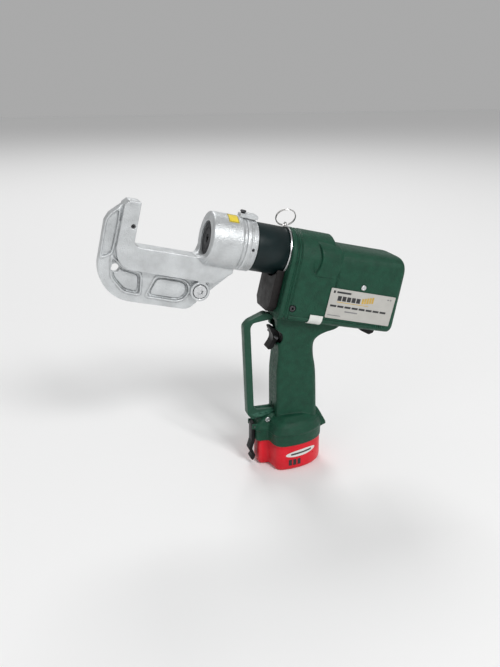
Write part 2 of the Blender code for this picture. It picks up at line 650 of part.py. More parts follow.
# ---------------------------------------------------------------- trigger, latch and lever
def build_trigger(trigger):
    """Rocker trigger; its frame's origin is on the pivot pin."""
    outline = arc(0, 0, 0.0095, -60, 60, 8)
    outline += [(0.0025, 0.0102), (-0.0008, 0.0110), (-0.0024, 0.0098), (-0.0010, 0.0062),
                (0.0009, 0.0020), (0.0016, -0.0023), (0.0009, -0.0065), (-0.0014, -0.0114),
                (-0.0040, -0.0158), (-0.0049, -0.0178), (-0.0039, -0.0189), (-0.0005, -0.0182),
                (0.0028, -0.0146), (0.0036, -0.0110)]
    rocker = add_part("trigger", prism(outline, -TRIGGER_HALF, TRIGGER_HALF), "black_plastic", trigger)
    hole = rod(-0.02, 0.02, 0.0018, 12, "Y", (0.0035, 0, 0))
    combine(rocker, add_guide("pin_hole", hole, trigger), "DIFFERENCE")


def build_latch(latch):
    """Springy battery catch; its frame's origin is on the latch pin."""
    strap = [(0.0015, 0.0020), (0.0015, -0.0210), (-0.0020, -0.0320), (0.0020, -0.0410),
             (0.0012, -0.0450), (-0.0012, -0.0485), (-0.0045, -0.0450), (-0.0018, -0.0410),
             (-0.0062, -0.0325), (-0.0028, -0.0210), (-0.0028, 0.0020)]
    body = add_part("battery_latch", prism(strap, -0.0060, 0.0060), "black_plastic", latch)
    knuckle = rod(-0.0070, 0.0070, 0.0026, 16, "Y")
    combine(body, add_guide("latch_knuckle", knuckle, latch), "UNION")
    hole = rod(-0.01, 0.01, 0.0014, 12, "Y")
    combine(body, add_guide("latch_bore", hole, latch), "DIFFERENCE")


def build_lever(lever):
    """Pressure release lever under the rear; its frame's origin is on the lever pin."""
    outline = [(-0.0018, 0.0012), (0.0215, 0.0012), (0.0230, -0.0010), (0.0215, -0.0060),
               (0.0170, -0.0078), (0.0020, -0.0030), (-0.0018, -0.0018)]
    body = add_part("release_lever", prism(outline, -0.0041, 0.0041), "black_plastic", lever)
    pad = [(0.0045, 0.0012), (0.0215, 0.0012), (0.0230, -0.0010), (0.0215, -0.0060),
           (0.0170, -0.0078), (0.0045, -0.0040)]
    combine(body, add_guide("lever_pad", prism(pad, -0.0090, 0.0090), lever), "UNION")
    hole = rod(-0.01, 0.01, 0.0014, 12, "Y")
    combine(body, add_guide("lever_bore", hole, lever), "DIFFERENCE")


def build_pins(barrel):
    """Pivot pins, which stay with the housing."""
    x, y, z = TRIGGER_PIVOT
    add_part("trigger_pin", rod(-0.0162, 0.0162, 0.0015, 12, "Y", (x + 0.0035, y, z)), "steel")
    add_part("latch_pin", rod(-0.0100, 0.0100, 0.0011, 12, "Y", LATCH_PIVOT), "steel")
    add_part("lever_pin", rod(-0.0068, 0.0068, 0.0011, 12, "Y", LEVER_PIVOT), "steel", barrel)


# ---------------------------------------------------------------- pump and drive train
def build_pump(barrel):
    """Pump block with the plunger's bore, relief valve and oil reservoir."""
    body = [(0.0245, -0.0310), (0.0245, 0.0140), (0.0560, 0.0140), (0.0560, -0.0310),
            (0.0780, -0.0310), (0.0780, -0.0600), (0.0245, -0.0600)]
    pump = add_part("pump_block", prism(body, -0.0230, 0.0230), "forged_steel", barrel)
    spigot = rod(0.0050, 0.0300, 0.0220, 32)
    combine(pump, add_guide("pump_spigot", spigot, barrel), "UNION")
    bore = rod(-0.0480, -0.0200, 0.0053, 20, "Z", (PUMP_X, 0, DRIVE_Z))
    combine(pump, add_guide("plunger_bore", bore, barrel), "DIFFERENCE")
    shaft_seat = rod(0.0500, 0.0600, 0.0045, 20, "X", (0, 0, DRIVE_Z))
    combine(pump, add_guide("shaft_seat", shaft_seat, barrel), "DIFFERENCE")
    valve = turned([(0.0563, 0), (0.0563, 0.0040), (0.0640, 0.0040), (0.0640, 0.0025),
                    (0.0700, 0.0025), (0.0700, 0)], 12, "X", (0, 0.0140, 0.0100))
    add_part("relief_valve", valve, "brass", barrel)
    bladder = [(0.0820, -0.0640), (0.1580, -0.0630), (0.1580, -0.0330), (0.0820, -0.0330)]
    bag = add_part("oil_bladder", prism(bladder, -0.0260, 0.0260), "rubber", barrel)
    round_edges(bag, 0.0050, 2)


def build_plunger(plunger):
    """Pump plunger at the bottom of its stroke, clear of the eccentric's lowest reach."""
    profile = [(-0.0450, 0), (-0.0450, 0.0050), (-0.0150, 0.0050), (-0.0145, 0.0045), (-0.0145, 0)]
    add_part("pump_plunger", turned(profile, 20, "Z", (PUMP_X, 0, 0)), "steel", plunger)


def build_drive(drive, carrier, motor):
    """Gearbox, motor and the shafts that turn in them."""
    case = turned([(0.0800, 0.0213), (0.0800, 0.0230), (0.1003, 0.0230), (0.1003, 0.0050),
                   (0.0984, 0.0050), (0.0984, 0.0213)], 28)
    add_part("gearbox_case", case, "aluminium", drive)
    ring = add_part("ring_gear", rod(GEAR_X0 - GAP, GEAR_X1 + GAP, 0.0210, 36), "steel", drive)
    inside = prism(gear_outline(RING_TEETH, math.pi / RING_TEETH, inside=True), 0.08, 0.11, "X")
    combine(ring, add_guide("ring_teeth", inside, drive), "DIFFERENCE")
    add_part("motor_can", turned([(0.1008, 0.0040), (0.1008, 0.0195), (0.1540, 0.0195),
                                  (0.1540, 0.0178), (0.1026, 0.0178), (0.1026, 0.0040)], 28),
             "steel", drive)
    bell = turned([(0.1544, 0.0030), (0.1544, 0.0195), (0.1590, 0.0170), (0.1590, 0.0030)], 32)
    add_part("motor_end_cap", bell, "black_plastic", drive)
    rotor = turned([(0.0980, 0), (0.0980, 0.0025), (0.1070, 0.0025), (0.1070, 0.0150),
                    (0.1400, 0.0150), (0.1400, 0.0080), (0.1500, 0.0080), (0.1500, 0.0025),
                    (0.1580, 0.0025), (0.1580, 0)], 24)
    add_part("motor_rotor", rotor, "dark_steel", motor)
    add_part("sun_gear", prism(gear_outline(SUN_TEETH), GEAR_X0 + GAP, GEAR_X1 - GAP, "X"),
             "steel", motor)
    plate = add_part("planet_carrier", rod(0.0830, 0.0880, 0.0170, 32), "steel", carrier)
    for i in range(3):
        place = planet_place(i)
        pin = rod(0.0850, 0.0968, 0.0018, 12, "X", (0, *place))
        combine(plate, add_guide("planet_pin", pin, carrier), "UNION")
    shaft = turned([(0.0525, 0), (0.0525, 0.0040), (0.0600, 0.0040), (0.0827, 0.0040), (0.0827, 0)], 20)
    shaft = add_part("eccentric_shaft", shaft, "steel", carrier)
    cam = rod(0.0630, 0.0730, 0.0075, 24, "X", (0, 0, ECCENTRICITY))
    combine(shaft, add_guide("eccentric_journal", cam, carrier), "UNION")
    bearing = tube(0.0635, 0.0725, 0.0078, 0.0112, 24, "X", (0, 0, ECCENTRICITY))
    add_part("eccentric_bearing", bearing, "steel", carrier)


def planet_place(index):
    """A planet's centre (y, z); the first one is at the top."""
    angle = math.radians(90 + 120 * index)
    return PLANET_ORBIT * math.cos(angle), PLANET_ORBIT * math.sin(angle)


def build_planet(index, frame):
    """One planet gear about its own frame's X axis, half a tooth off the sun's teeth."""
    gap_to_sun = math.radians(90 + 120 * index) + math.pi + math.pi / PLANET_TEETH
    gear = prism(gear_outline(PLANET_TEETH, gap_to_sun), GEAR_X0 + GAP, GEAR_X1 - GAP, "X")
    planet = add_part("planet_gear_%d" % (index + 1), gear, "steel", frame)
    hole = rod(0.08, 0.11, 0.0021, 12)
    combine(planet, add_guide("planet_bore", hole, frame), "DIFFERENCE")


# ---------------------------------------------------------------- switch and electronics
def build_electrics():
    """What the grip holds: switch, board and the battery's terminals."""
    add_part("switch_module", block(-0.0120, 0.0140, -0.0105, 0.0105, 0.1480, 0.1760),
             "black_plastic")
    add_part("control_board", block(0.0190, 0.0206, -0.0120, 0.0120, 0.1220, 0.1560), "board")
    add_part("terminal_block", block(-0.0090, 0.0150, -0.0100, 0.0100, 0.1140, 0.1200),
             "black_plastic")


# ---------------------------------------------------------------- battery
def build_battery(battery):
    """Battery pack with its stem, cells, contacts and sticker."""
    lower = FOOT_BOTTOM_Z - GAP
    rings = []
    for z, grow in ((0.0, -0.0030), (0.0012, -0.0012), (0.0040, 0.0), (lower, 0.0)):
        rings.append([(x, y, z) for x, y in battery_plan(grow)])
    case = add_part("battery_case", loft(rings), "red_plastic", battery)
    hollow = loft([[(x, y, z) for x, y in battery_plan(-WALL)] for z in (0.0030, lower + 0.01)])
    combine(case, add_guide("battery_hollow", hollow, battery), "DIFFERENCE")
    cover = loft([[(x, y, z) for x, y in battery_plan(-WALL - GAP)]
                  for z in (lower - 0.0040, lower)])
    cover = add_part("battery_cover", cover, "black_plastic", battery)
    plan = rounded_rectangle(-0.0130, 0.0230, 0.0135, 0.0060)
    stem = loft([[(x, y, z) for x, y in plan] for z in (lower - 0.0020, STEM_TOP_Z)])
    combine(cover, add_guide("stem_outside", stem, battery), "UNION")
    plan = rounded_rectangle(-0.0112, 0.0212, 0.0117, 0.0045)
    space = loft([[(x, y, z) for x, y in plan] for z in (lower - 0.0200, STEM_TOP_Z - 0.0020)])
    combine(cover, add_guide("stem_inside", space, battery), "DIFFERENCE")
    build_cells(battery)
    for name, side in (("contact_plus", -1), ("contact_minus", 1)):
        y = side * 0.0055
        plate = block(0.0000, 0.0080, y - 0.0012, y + 0.0012, STEM_TOP_Z + GAP, STEM_TOP_Z + 0.0018)
        add_part(name, plate, "brass", battery)


def build_cells(battery):
    """Two short cells in the case and two standing in the stem."""
    for i, (x, y) in enumerate(((-0.0120, -0.0200), (-0.0120, 0.0200))):
        cell = turned([(0.0034, 0), (0.0034, 0.0106), (0.0040, 0.0108), (0.0222, 0.0108),
                       (0.0228, 0.0100), (0.0228, 0)], 20, "Z", (x, y, 0))
        add_part("case_cell_%d" % (i + 1), cell, "cell_wrap", battery)
    for i, z in enumerate((0.0300, 0.0690)):
        cell = turned([(z, 0), (z, 0.0104), (z + 0.0005, 0.0108), (z + 0.0370, 0.0108),
                       (z + 0.0375, 0.0045), (z + 0.0385, 0.0045), (z + 0.0385, 0)],
                      20, "Z", (0.0050, 0, 0))
        add_part("stem_cell_%d" % (i + 1), cell, "cell_wrap", battery)


# ---------------------------------------------------------------- assembly
def main():
    """Build every sub-part on its frame."""
    clear_scene()
    barrel = add_empty("barrel_frame", BARREL_ORIGIN, BARREL_PITCH)
    head = add_empty("head_frame", parent=barrel)
    ram = add_empty("ram_frame", parent=head)
    lock = add_empty("lock_frame", parent=head)
    ring = add_empty("ring_frame", RING_EYE, roll=RING_LEAN, parent=barrel)
    lever = add_empty("lever_frame", LEVER_PIVOT, parent=barrel)
    drive = add_empty("drive_frame", (0, 0, DRIVE_Z), parent=barrel)
    carrier = add_empty("carrier_frame", parent=drive)
    motor = add_empty("motor_frame", parent=drive)
    plunger = add_empty("plunger_frame", parent=drive)
    trigger = add_empty("trigger_frame", TRIGGER_PIVOT)
    latch = add_empty("latch_frame", LATCH_PIVOT)
    battery = add_empty("battery_frame")
    build_c_head(head)
    build_head_fittings(head)
    build_ram(ram)
    build_return_spring(head)
    build_lock_pin(lock)
    build_neck(barrel)
    build_strap_ring(ring)
    build_housing(barrel)
    build_housing_trim(barrel)
    build_guard()
    build_guard_screw()
    build_trigger(trigger)
    build_latch(latch)
    build_lever(lever)
    build_pins(barrel)
    build_pump(barrel)
    build_plunger(plunger)
    build_drive(drive, carrier, motor)
    for i in range(3):
        frame = add_empty("planet_frame_%d" % (i + 1), (0, *planet_place(i)), parent=carrier)
        build_planet(i, frame)
    build_electrics()
    build_battery(battery)


main()
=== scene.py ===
"""Looks of a cordless crimping tool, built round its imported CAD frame.

Metres, +Z up.  The tool stands on its battery and its nose points to -X.  Pieces on the pitched
barrel are made in barrel coordinates (X back along the ram's axis, which is z = 0) and are then
turned into place by BARREL.
"""
import json
import math

import bmesh
import bpy
from mathutils import Matrix, Vector


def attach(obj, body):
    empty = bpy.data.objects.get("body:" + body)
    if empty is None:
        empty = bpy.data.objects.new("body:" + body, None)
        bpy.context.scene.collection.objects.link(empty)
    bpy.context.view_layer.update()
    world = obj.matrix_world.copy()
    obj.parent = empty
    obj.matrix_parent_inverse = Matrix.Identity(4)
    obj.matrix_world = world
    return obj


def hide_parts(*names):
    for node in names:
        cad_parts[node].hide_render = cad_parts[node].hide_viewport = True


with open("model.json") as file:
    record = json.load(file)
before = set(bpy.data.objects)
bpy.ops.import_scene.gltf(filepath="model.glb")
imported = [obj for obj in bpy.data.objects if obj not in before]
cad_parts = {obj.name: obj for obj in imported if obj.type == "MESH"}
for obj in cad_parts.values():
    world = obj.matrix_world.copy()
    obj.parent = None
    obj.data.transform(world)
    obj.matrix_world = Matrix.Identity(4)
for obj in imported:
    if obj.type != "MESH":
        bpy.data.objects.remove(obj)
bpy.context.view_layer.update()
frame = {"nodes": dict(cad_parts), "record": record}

# ---------------------------------------------------------------- layout
# The CAD's own measures, but for a rear end that is 3 mm shorter and has tighter corners.
BARREL = Matrix.Translation((-0.0261, 0.0, 0.2742)) @ Matrix.Rotation(math.radians(13.2), 4, "Y")
HERE = Matrix()                 # for pieces that are already in world coordinates
FLOOR_Z = 0.0
GAP = 0.0003
RAM_RADIUS = 0.0200
RAM_FACE_X = -0.0765
HEAD_RADIUS = 0.0313
COLLAR_RADIUS = 0.0300
NECK_RADIUS = 0.0283
TUBE_RADIUS = 0.0260
ANVIL_X, ARM_TOP_Z, THROAT_Z = -0.1590, 0.0275, -0.0207
HEAD_BACK_X, HEAD_BOTTOM_Z = -0.1935, -0.0840
BLOCK_LINE_Z = -0.0470
THROAT_FILLET = 0.0070
PLUG, LOBE_RADIUS = (-0.0755, 0.0, -0.0595), 0.0112
TIE_HOLE = (-0.1735, 0.0, -0.0490)
ARM_SCREW = (-0.1634, 0.0, 0.0010)
COLLAR_SCREW = (-0.0300, 0.0, 0.0)
LOCK_PIN = (-0.0415, 0.0, 0.0)
HOUSE_HALF, HOUSE_FRONT_X, HOUSE_REAR_X = 0.0360, 0.0160, 0.1670
FRONT_TOP_Z, REAR_TOP_Z, REAR_CORNER = 0.0297, 0.0205, 0.0070
WALL = 0.0026
FOOT_BOTTOM_Z, FOOT_TOP_Z = 0.0335, 0.0685
FOOT_NOSE_X, BATTERY_NOSE_X = -0.0438, -0.0415
BATTERY_HALF, BATTERY_WIDE_X, BATTERY_TAIL_X = 0.0365, -0.0120, 0.0415
GUARD_SCREW = (-0.0303, 0.0, 0.0612)
TRIGGER_PIVOT = (-0.0249, 0.0, 0.1690)
TRIGGER_HALF, TRIGGER_HOLE = 0.0080, (0.0035, 0.0, 0.0)
LATCH_PIVOT = (-0.0468, 0.0, 0.0525)
LEVER_PIVOT = (0.1345, 0.0, -0.0738)
RING_EYE = (0.0116, 0.0, 0.0306)
FRONT_SCREW = (0.0310, 0.0, -0.0584)
SIDE_SCREW = (0.1130, 0.0, -0.0207)


# ---------------------------------------------------------------- outlines
def arc(cx, cy, radius, start, end, steps):
    """Points on a circle from start to end (degrees), both ends included."""
    points = []
    for i in range(steps + 1):
        angle = math.radians(start + (end - start) * i / steps)
        points.append((cx + radius * math.cos(angle), cy + radius * math.sin(angle)))
    return points


def rounded(outline, radius, steps=4):
    """A closed outline with its corners rounded."""
    result = []
    for i, corner in enumerate(outline):
        corner = Vector(corner)
        back = Vector(outline[i - 1]) - corner
        on = Vector(outline[(i + 1) % len(outline)]) - corner
        start = corner + back.normalized() * min(radius, back.length * 0.45)
        end = corner + on.normalized() * min(radius, on.length * 0.45)
        for k in range(steps + 1):
            t = k / steps
            result.append(tuple((1 - t) ** 2 * start + 2 * t * (1 - t) * corner + t * t * end))
    return result


def inset(outline, distance):
    """Move each side of a closed outline inwards (outwards if negative)."""
    sides = list(zip(outline, outline[1:] + outline[:1]))
    turn = 1 if sum(a[0] * b[1] - b[0] * a[1] for a, b in sides) > 0 else -1
    lines = []
    for a, b in sides:
        along = (Vector(b) - Vector(a)).normalized()
        lines.append((Vector(a) + Vector((-along.y, along.x)) * turn * distance, along))
    result = []
    for (p, d), (q, e) in zip(lines[-1:] + lines[:-1], lines):
        t = ((q - p).x * e.y - (q - p).y * e.x) / (d.x * e.y - d.y * e.x)
        result.append(tuple(p + d * t))
    return result


def star(points, outer, inner, turn=0.0, centre=(0.0, 0.0)):
    """A star whose points reach outer and whose notches reach inner."""
    outline = []
    for i in range(points * 2):
        reach = inner if i % 2 else outer
        angle = math.pi * i / points + turn
        outline.append((centre[0] + reach * math.cos(angle), centre[1] + reach * math.sin(angle)))
    return outline


def smooth_rows(rows, steps):
    """Catmull-Rom rows between the given rows of numbers."""
    result = []
    for i in range(len(rows) - 1):
        p0, p1, p2, p3 = rows[max(i - 1, 0)], rows[i], rows[i + 1], rows[min(i + 2, len(rows) - 1)]
        for k in range(steps):
            t = k / steps
            result.append(tuple(
                0.5 * (2 * b + (c - a) * t + (2 * a - 5 * b + 4 * c - d) * t * t
                       + (3 * b - a - 3 * c + d) * t ** 3) for a, b, c, d in zip(p0, p1, p2, p3)))
    return result + [tuple(rows[-1])]


# ---------------------------------------------------------------- meshes
def join_loops(bm, first, second):
    """Bridge two closed loops of the same length."""
    for i in range(len(first)):
        j = (i + 1) % len(first)
        bm.faces.new((first[i], first[j], second[j], second[i]))


def loft(rings):
    """A closed solid through rings of points."""
    bm = bmesh.new()
    loops = [[bm.verts.new(point) for point in ring] for ring in rings]
    for first, second in zip(loops, loops[1:]):
        join_loops(bm, first, second)
    bm.faces.new(loops[0])
    bm.faces.new(loops[-1])
    return bm


def prism(outline, low, high, axis="Y"):
    """Extrude an outline: (x, z) along Y, (y, z) along X, (x, y) along Z."""
    place = {"X": lambda u, v, w: (w, u, v), "Y": lambda u, v, w: (u, w, v),
             "Z": lambda u, v, w: (u, v, w)}[axis]
    return loft([[place(u, v, w) for u, v in outline] for w in (low, high)])


def both_sides(outline, near, far):
    """The same prism on -Y and on +Y, between two distances from the middle plane."""
    return [prism(outline, *sorted((side * near, side * far))) for side in (-1, 1)]


def block(x0, x1, y0, y1, z0, z1):
    """An axis-aligned box."""
    return prism([(x0, z0), (x1, z0), (x1, z1), (x0, z1)], y0, y1)


def turned(profile, steps=64, axis="X", centre=(0, 0, 0), ripple=None):
    """Turn (along, radius) points about an axis; ripple(along, angle) adds to the radius.

    A profile that starts and ends at radius 0 makes a solid; any other one is a closed tube.
    """
    bm = bmesh.new()
    rings = []
    for along, radius in profile:
        if radius == 0:
            rings.append([bm.verts.new((along, 0, 0))])
            continue
        ring = []
        for i in range(steps):
            angle = 2 * math.pi * i / steps
            r = radius + (ripple(along, angle) if ripple else 0)
            ring.append(bm.verts.new((along, r * math.cos(angle), r * math.sin(angle))))
        rings.append(ring)
    pairs = list(zip(rings, rings[1:]))
    if profile[0][1] > 0:
        pairs.append((rings[-1], rings[0]))
    for first, second in pairs:
        if len(first) > 1 and len(second) > 1:
            join_loops(bm, first, second)
            continue
        tip, ring = (first[0], second) if len(first) == 1 else (second[0], first)
        for i in range(steps):
            bm.faces.new((tip, ring[i], ring[(i + 1) % steps]))
    turn = {"X": Matrix(), "Y": Matrix.Rotation(math.pi / 2, 4, "Z"),
            "Z": Matrix.Rotation(-math.pi / 2, 4, "Y")}[axis]
    bm.transform(Matrix.Translation(centre) @ turn)
    return bm


def rod(start, end, radius, steps=48, axis="X", centre=(0, 0, 0)):
    """A plain cylinder, for cutting and joining."""
    return turned([(start, 0), (start, radius), (end, radius), (end, 0)], steps, axis, centre)


def many(bms):
    """Several meshes as one."""
    whole = bmesh.new()
    for bm in bms:
        mesh = bpy.data.meshes.new("part")
        bm.to_mesh(mesh)
        bm.free()
        whole.from_mesh(mesh)
        bpy.data.meshes.remove(mesh)
    return whole


def solid(bm, place=HERE, name="solid"):
    """A bare object, to be carved and finished later."""
    bmesh.ops.recalc_face_normals(bm, faces=bm.faces)
    bm.transform(place)
    mesh = bpy.data.meshes.new(name)
    bm.to_mesh(mesh)
    bm.free()
    obj = bpy.data.objects.new(name, mesh)
    bpy.context.scene.collection.objects.link(obj)
    return obj


def collapse(obj):
    """Turn the modifiers' result into the object's own mesh."""
    graph = bpy.context.evaluated_depsgraph_get()
    mesh = bpy.data.meshes.new_from_object(obj.evaluated_get(graph))
    obj.modifiers.clear()
    obj.data = mesh
    return obj


def carve(obj, operation, *bms):
    """Boolean obj with meshes: UNION, DIFFERENCE or INTERSECT."""
    tools = [solid(bm) for bm in bms]
    for tool in tools:
        step = obj.modifiers.new("carve", "BOOLEAN")
        step.operation, step.solver, step.object = operation, "EXACT", tool
    collapse(obj)
    for tool in tools:
        bpy.data.objects.remove(tool, do_unlink=True)
    return obj


def mould(obj, voxel, passes, keep):
    """Remesh in voxels and soften, which rounds every edge as a casting's or moulding's is."""
    step = obj.modifiers.new("voxels", "REMESH")
    step.mode, step.voxel_size = "VOXEL", voxel
    step = obj.modifiers.new("soften", "SMOOTH")
    step.factor, step.iterations = 0.5, passes
    step = obj.modifiers.new("thin_out", "DECIMATE")
    step.ratio = keep
    return collapse(obj)


def bevel(obj, width, segments=3, angle=35):
    """Round the edges sharper than angle."""
    step = obj.modifiers.new("edges", "BEVEL")
    step.width, step.segments = width, segments
    step.limit_method, step.angle_limit = "ANGLE", math.radians(angle)
    return collapse(obj)


def show(obj, name, body, look, replaces=(), smooth=40):
    """Finish a piece: its name, shading, material and body; the CAD nodes it stands for are hidden.
    """
    obj.name = obj.data.name = name
    obj.data.materials.clear()
    obj.data.materials.append(look)
    obj.data.shade_smooth()
    obj.data.set_sharp_from_angle(angle=math.radians(smooth))
    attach(obj, body)
    if replaces:
        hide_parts(*replaces)
    return obj


# ---------------------------------------------------------------- materials
def finish(name, colour, roughness, metallic=0.0, grain=1500.0, relief=0.00008, mottle=0.10,
           spots=45.0, wear_and_highlight=None, coat=0.0, rough_range=0.08, scratch=0.0, hollow_darkening=None, specular=0.5,
           wear_and_highlight_from=0.515, seam=False):
    """A procedural material: mottled colour, bump grain, and worn edges with a painted highlight.

    grain, spots and scratch are noise scales, and relief is the bump's depth in metres. The edge
    colour goes on outer edges as wear and as a painted highlight, and a darker hollow colour goes
    in hollows. seam leaves the middle plane, where two mouldings meet, without the edge colour.
    """
    material = bpy.data.materials.new(name)
    material.use_nodes = True
    nodes, links = material.node_tree.nodes, material.node_tree.links
    shader = nodes["Principled BSDF"]
    shader.inputs["Metallic"].default_value = metallic
    shader.inputs["Coat Weight"].default_value = coat
    shader.inputs["Specular IOR Level"].default_value = specular
    coords = nodes.new("ShaderNodeTexCoord")

    def noise(scale, detail, source=None):
        node = nodes.new("ShaderNodeTexNoise")
        node.inputs["Scale"].default_value = scale
        node.inputs["Detail"].default_value = detail
        links.new(source or coords.outputs["Object"], node.inputs["Vector"])
        return node.outputs["Fac"]

    def ramp(value, low, high, colours):
        node = nodes.new("ShaderNodeValToRGB")
        node.color_ramp.elements[0].position, node.color_ramp.elements[1].position = low, high
        for element, c in zip(node.color_ramp.elements, colours):
            element.color = (*c, 1.0)
        links.new(value, node.inputs["Fac"])
        return node.outputs["Color"]

    def calculate(operation, *values):
        node = nodes.new("ShaderNodeMath")
        node.operation = operation
        for value, socket in zip(values, node.inputs):
            links.new(value, socket)
        return node.outputs[0]

    broad, fine = noise(spots, 4.0), noise(grain, 3.0)
    tint = ramp(broad, 0.32, 0.68, ([c * (1 - mottle) for c in colour],
                                    [min(1.0, c * (1 + mottle)) for c in colour]))
    geometry = nodes.new("ShaderNodeNewGeometry")
    # Outer edges get the edge colour: partly wear, partly a painted highlight.
    for shade, low, high, ends in ((wear_and_highlight, wear_and_highlight_from, 0.60, ((0,) * 3, (1,) * 3)),
                                   # Hollows get a darker colour.
                                   (hollow_darkening, 0.43, 0.494, ((1,) * 3, (0,) * 3))):
        if not shade:
            continue
        edge = ramp(geometry.outputs["Pointiness"], low, high, ends)
        patchy = ramp(noise(260.0, 3.0), 0.40, 0.62, ((0.25,) * 3, (1, 1, 1)))
        if seam:
            split = nodes.new("ShaderNodeSeparateXYZ")
            links.new(coords.outputs["Object"], split.inputs[0])
            patchy = calculate("MULTIPLY", patchy, ramp(calculate("ABSOLUTE", split.outputs["Y"]),
                                                        0.005, 0.012, ((0,) * 3, (1,) * 3)))
        mix = nodes.new("ShaderNodeMix")
        mix.data_type = "RGBA"
        links.new(calculate("MULTIPLY", edge, patchy), mix.inputs["Factor"])
        links.new(tint, mix.inputs["A"])
        mix.inputs["B"].default_value = (*shade, 1.0)
        tint = mix.outputs["Result"]
    links.new(tint, shader.inputs["Base Color"])
    spread = nodes.new("ShaderNodeMapRange")
    spread.inputs["From Min"].default_value, spread.inputs["From Max"].default_value = 0.3, 0.7
    spread.inputs["To Min"].default_value = max(0.02, roughness - rough_range)
    spread.inputs["To Max"].default_value = min(1.0, roughness + rough_range)
    links.new(noise(spots * 3, 4.0), spread.inputs["Value"])
    links.new(spread.outputs["Result"], shader.inputs["Roughness"])
    height = fine
    if scratch:
        stretch = nodes.new("ShaderNodeMapping")
        stretch.inputs["Scale"].default_value = (1.0, 0.04, 1.0)
        links.new(coords.outputs["Object"], stretch.inputs["Vector"])
        height = calculate("ADD", fine, noise(scratch, 2.0, stretch.outputs["Vector"]))
    bump = nodes.new("ShaderNodeBump")
    bump.inputs["Strength"].default_value = 0.6
    bump.inputs["Distance"].default_value = relief
    links.new(height, bump.inputs["Height"])
    links.new(bump.outputs["Normal"], shader.inputs["Normal"])
    return material


# The wear colours below mark worn edges and also paint a highlight along them.
CAST = finish("cast_plated", (0.60, 0.62, 0.63), 0.38, 0.65, 700, 0.00095, 0.12, 60,
              wear_and_highlight=(0.86, 0.88, 0.89), rough_range=0.10, hollow_darkening=(0.10, 0.105, 0.11))
MACHINED = finish("machined_steel", (0.62, 0.63, 0.64), 0.28, 1.0, 900, 0.00004, 0.08, 90,
                  scratch=2200)
DARK = finish("black_oxide", (0.020, 0.021, 0.023), 0.48, 0.60, 1400, 0.00006, 0.20, 80,
              wear_and_highlight=(0.16, 0.16, 0.17))
CHROME = finish("chrome", (0.60, 0.59, 0.58), 0.24, 1.0, 500, 0.00001, 0.04, 60, rough_range=0.05)
GREEN = finish("green_moulding", (0.0075, 0.057, 0.032), 0.46, 0.0, 850, 0.00100, 0.17, 120,
               wear_and_highlight=(0.036, 0.140, 0.092), rough_range=0.12, hollow_darkening=(0.002, 0.012, 0.008),
               specular=0.26, wear_and_highlight_from=0.530, seam=True)
RAM = finish("blackened_ram", (0.014, 0.015, 0.017), 0.52, 0.15, 1000, 0.00010, 0.25, 70,
             wear_and_highlight=(0.10, 0.10, 0.11), specular=0.30)
GREEN_GUARD = finish("green_guard", (0.0075, 0.054, 0.031), 0.42, 0.0, 1300, 0.00025, 0.20, 35,
                     wear_and_highlight=(0.050, 0.150, 0.105), hollow_darkening=(0.002, 0.012, 0.008), specular=0.32)
NECK = finish("neck_rubber", (0.0025, 0.011, 0.012), 0.38, 0.0, 1300, 0.00010, 0.20, 40,
              specular=0.30)
BLACK = finish("black_moulding", (0.006, 0.006, 0.0065), 0.42, 0.0, 1500, 0.00012, 0.22, 45,
               wear_and_highlight=(0.024, 0.024, 0.026), specular=0.20)
BROWN_BLACK = finish("front_moulding", (0.008, 0.0065, 0.0065), 0.50, 0.0, 1200, 0.00018, 0.22, 40,
                     wear_and_highlight=(0.026, 0.022, 0.022), specular=0.28)
RED = finish("red_moulding", (0.64, 0.006, 0.018), 0.34, 0.0, 1300, 0.00010, 0.12, 40,
             wear_and_highlight=(0.75, 0.10, 0.11), specular=0.30)
CREAM = finish("plate_film", (0.50, 0.49, 0.46), 0.42, 0.25, 600, 0.00002, 0.04, 90)
WHITE = finish("white_film", (0.70, 0.71, 0.68), 0.35, 0.0, 800, 0.00002, 0.04, 120)
YELLOW = finish("yellow_film", (0.80, 0.62, 0.04), 0.35, 0.0, 800, 0.00002, 0.06, 120)
INK = finish("dark_ink", (0.020, 0.020, 0.022), 0.45, 0.0, 900, 0.00001, 0.15, 150)
GREY_INK = finish("grey_ink", (0.22, 0.22, 0.22), 0.45, 0.0, 900, 0.00001, 0.12, 150)
GOLD_INK = finish("gold_ink", (0.55, 0.36, 0.07), 0.40, 0.2, 900, 0.00001, 0.15, 150)
RUBBER = finish("rubber", (0.020, 0.020, 0.021), 0.75, 0.0, 1000, 0.00010, 0.15, 60)
BRASS = finish("brass", (0.66, 0.46, 0.17), 0.32, 1.0, 900, 0.00003, 0.12, 80, scratch=1800)
BOARD = finish("board_mask", (0.015, 0.14, 0.05), 0.45, 0.0, 700, 0.00004, 0.15, 120)
WRAP = finish("cell_wrap", (0.10, 0.20, 0.42), 0.35, 0.0, 600, 0.00003, 0.10, 100, coat=0.2)
SLOT_LOOKS = {"forged_steel": CAST, "aluminium": MACHINED, "steel": MACHINED, "dark_steel": DARK,
              "chrome": CHROME, "green_plastic": GREEN, "black_plastic": BLACK, "red_plastic": RED,
              "white_label": WHITE, "yellow_label": YELLOW, "rubber": RUBBER, "brass": BRASS,
              "board": BOARD, "cell_wrap": WRAP}
OILED = ("trigger_pin", "latch_pin", "lever_pin")       # blackened, unlike the other steel nodes


def paint_cad_nodes():
    """Every CAD node gets its slot's material, whether or not a piece replaces it later."""
    slots = {part["node"]: part["material_slot"] for part in frame["record"]["subparts"]}
    for node, obj in frame["nodes"].items():
        look = DARK if node in OILED else SLOT_LOOKS[slots[node]]
        if not obj.data.materials:
            obj.data.materials.append(look)
        for i in range(len(obj.data.materials)):
            obj.data.materials[i] = look


# ---------------------------------------------------------------- head
def throat_corner():
    """The fillet between the lower jaw and the arm."""
    return arc(ANVIL_X + THROAT_FILLET, THROAT_Z + THROAT_FILLET, THROAT_FILLET, 270, 180, 6)


